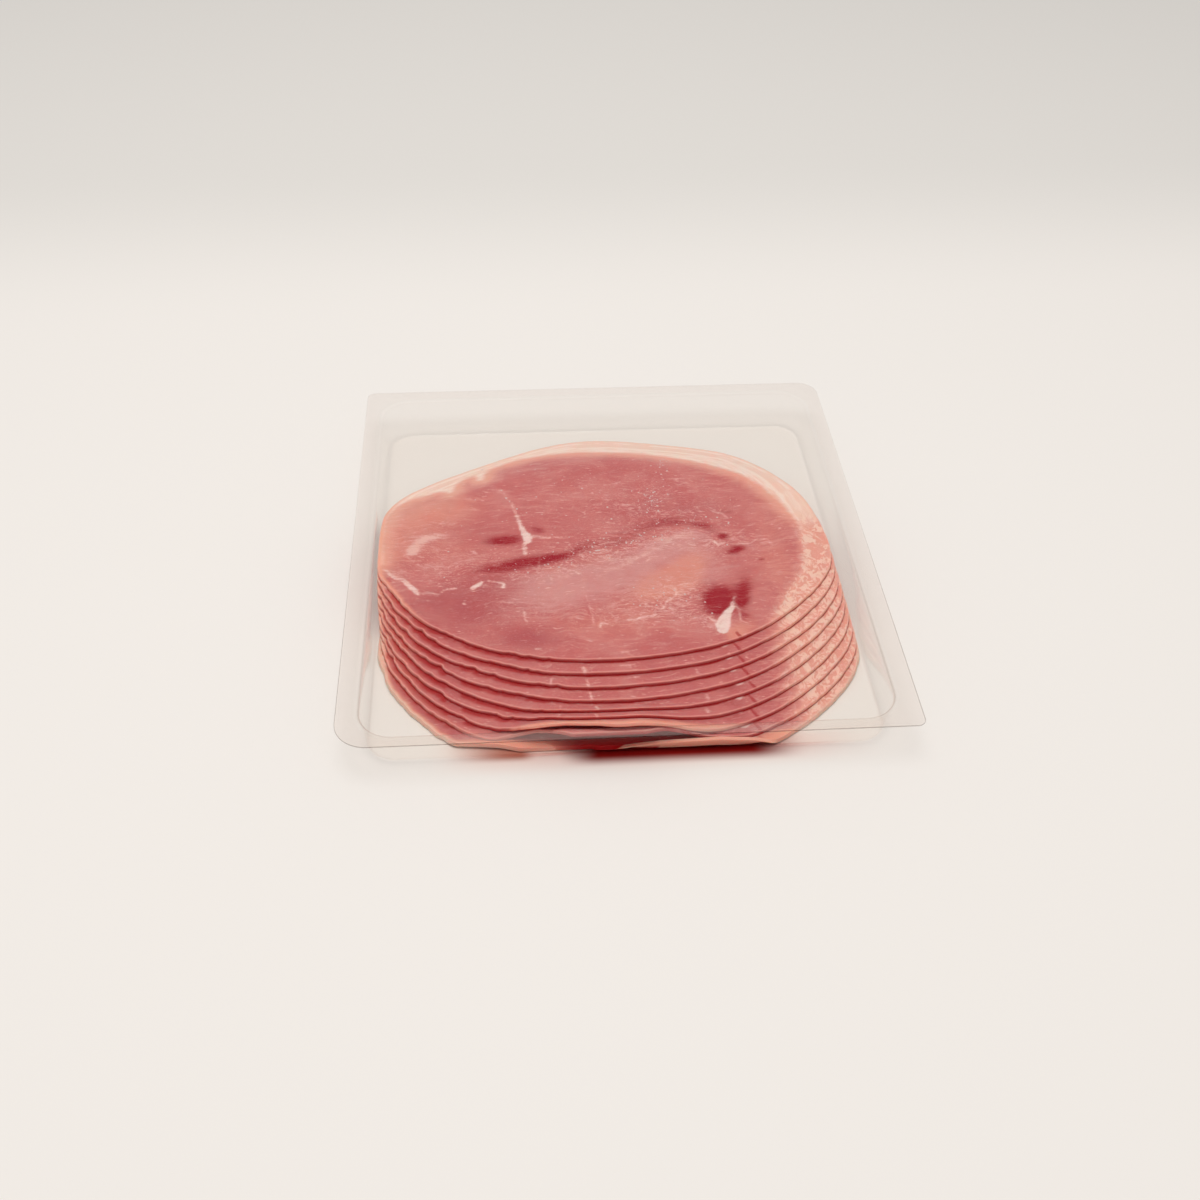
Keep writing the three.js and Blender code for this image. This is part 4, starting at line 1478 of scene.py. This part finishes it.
class HAMPACK_OT_slices(bpy.types.Operator):
    """Makes the nine slices, each laid over the ones below it, and the juice on the top one"""

    bl_idname = "ham_pack.slices"
    bl_label = "Slices and juice"

    def execute(self, context):
        settings = context.scene.ham_slices
        material = cooked_ham(context.scene.ham_colours)
        outline = closed_curve(SLICE_OUTLINE, 24)
        tree = lay_tree(outline)
        top = None
        for number in range(SLICES):
            left, left_run, right, right_run, share = HUMP_OF.get(number, HUMP)
            flat = slice_mesh(number, settings, outline, TOP_RINGS if number == 0 else RINGS)
            modifier = geometry_modifier(flat, tree, {
                "Slice": float(number),
                "Slices Below": SLICES - 1 - number,
                "Step Forward": settings.step_forward,
                "Step Right": settings.step_right,
                "Pitch": settings.pitch,
                "Bed Height": (WALL + BED_GAP) * MM,
                "Drape Start": settings.drape_start,
                "Drape Run": settings.drape_run,
                "Hump Height": share * settings.hump_height,
                "Hump Left": left * MM,
                "Hump Left Run": left_run * MM,
                "Hump Right": right * MM,
                "Hump Right Run": right_run * MM,
                "Hump Foot": HUMP_FOOT * MM,
                "Hump Crest": HUMP_CREST * MM,
                "Material": material,
            })
            laid = freeze(flat, modifier, f"ham_slice_{number + 1:02d}")
            if top is None:
                top = laid
            finish_piece(laid, None, "ham", f"slice_{number + 1:02d}")
        damp = bpy.data.objects.new("damp_face", top.data.copy())
        context.scene.collection.objects.link(damp)
        modifier = geometry_modifier(damp, bead_tree(), {
            "Density": DROP_DENSITY,
            "Smallest": DROP_RADII[0] * MM,
            "Largest": DROP_RADII[1] * MM,
            "Seed": settings.seed,
            "Material": meat_juice(),
        })
        finish_piece(freeze(damp, modifier, "ham_juice_drops"), None, "ham")
        return {"FINISHED"}


class HAMPACK_OT_stage(bpy.types.Operator):
    """Makes the paper floor, the lights and the camera"""

    bl_idname = "ham_pack.stage"
    bl_label = "Stage"

    def execute(self, context):
        settings = context.scene.ham_stage
        scene = context.scene
        steps = np.linspace(-PAPER_REACH, PAPER_REACH, 27)
        points = np.array([(x, y, -PAPER_GAP) for y in steps for x in steps])
        index = np.arange(len(points)).reshape(len(steps), len(steps))
        paper = mesh_object("backdrop_paper", points, grid_cells(index))
        paper.data.materials.append(matt_paper(settings))

        world = bpy.data.worlds.new("studio_room")
        world.use_nodes = True
        background = world.node_tree.nodes["Background"]
        background.inputs["Color"].default_value = (1.0, 0.994, 0.989, 1)
        background.inputs["Strength"].default_value = settings.world
        scene.world = world

        key = bpy.data.lights.new("key_softbox", "AREA")
        key.shape = "RECTANGLE"
        key.size = 0.9
        key.size_y = 0.7
        key.energy = settings.key
        key.color = (1.0, 0.985, 0.96)
        holder = bpy.data.objects.new("key_softbox", key)
        holder.location = (-0.1, -0.05, 1.5)
        holder.rotation_euler = holder.location.to_track_quat("Z", "Y").to_euler()
        scene.collection.objects.link(holder)

        data = bpy.data.cameras.new("photo_camera")
        data.lens = 42.0
        data.sensor_width = 36.0
        data.clip_start = 0.02
        data.clip_end = 20.0
        camera = bpy.data.objects.new("photo_camera", data)
        right = (0.99769304, -0.0665666, 0.01332237)
        up = (0.03391571, 0.65874718, 0.75159955)
        forward = (0.0588075, 0.7494138, -0.65948513)
        turn = Matrix((right, up, [-c for c in forward])).transposed()
        camera.matrix_world = Matrix.Translation((-0.03515, -0.405, 0.3404)) @ turn.to_4x4()
        scene.collection.objects.link(camera)
        scene.camera = camera
        scene.view_settings.view_transform = "Standard"
        scene.cycles.transparent_max_bounces = 32
        return {"FINISHED"}


class HAMPACK_PT_panel(bpy.types.Panel):
    """Lists the steps that build the pack"""

    bl_label = "Ham Pack"
    bl_idname = "HAMPACK_PT_panel"
    bl_space_type = "VIEW_3D"
    bl_region_type = "UI"
    bl_category = "Ham Pack"

    def draw(self, context):
        for operator in OPERATORS:
            self.layout.operator(operator.bl_idname)
        for settings in SETTINGS:
            box = self.layout.box()
            for name in SETTINGS[settings].__annotations__:
                box.prop(getattr(context.scene, settings), name)


OPERATORS = (HAMPACK_OT_stage, HAMPACK_OT_slices, HAMPACK_OT_tray, HAMPACK_OT_film)
SETTINGS = {
    "ham_colours": HamColours,
    "ham_slices": SliceSettings,
    "ham_plastic": PlasticSettings,
    "ham_stage": StageSettings,
}


def register():
    for kind in (*SETTINGS.values(), *OPERATORS, HAMPACK_PT_panel):
        bpy.utils.register_class(kind)
    for name, kind in SETTINGS.items():
        setattr(bpy.types.Scene, name, PointerProperty(type=kind))


def unregister():
    for name in SETTINGS:
        delattr(bpy.types.Scene, name)
    for kind in reversed((*SETTINGS.values(), *OPERATORS, HAMPACK_PT_panel)):
        bpy.utils.unregister_class(kind)


def main():
    register()
    bpy.ops.ham_pack.stage()
    bpy.ops.ham_pack.slices()
    bpy.ops.ham_pack.tray()
    bpy.ops.ham_pack.film()


if __name__ == "__main__":
    main()
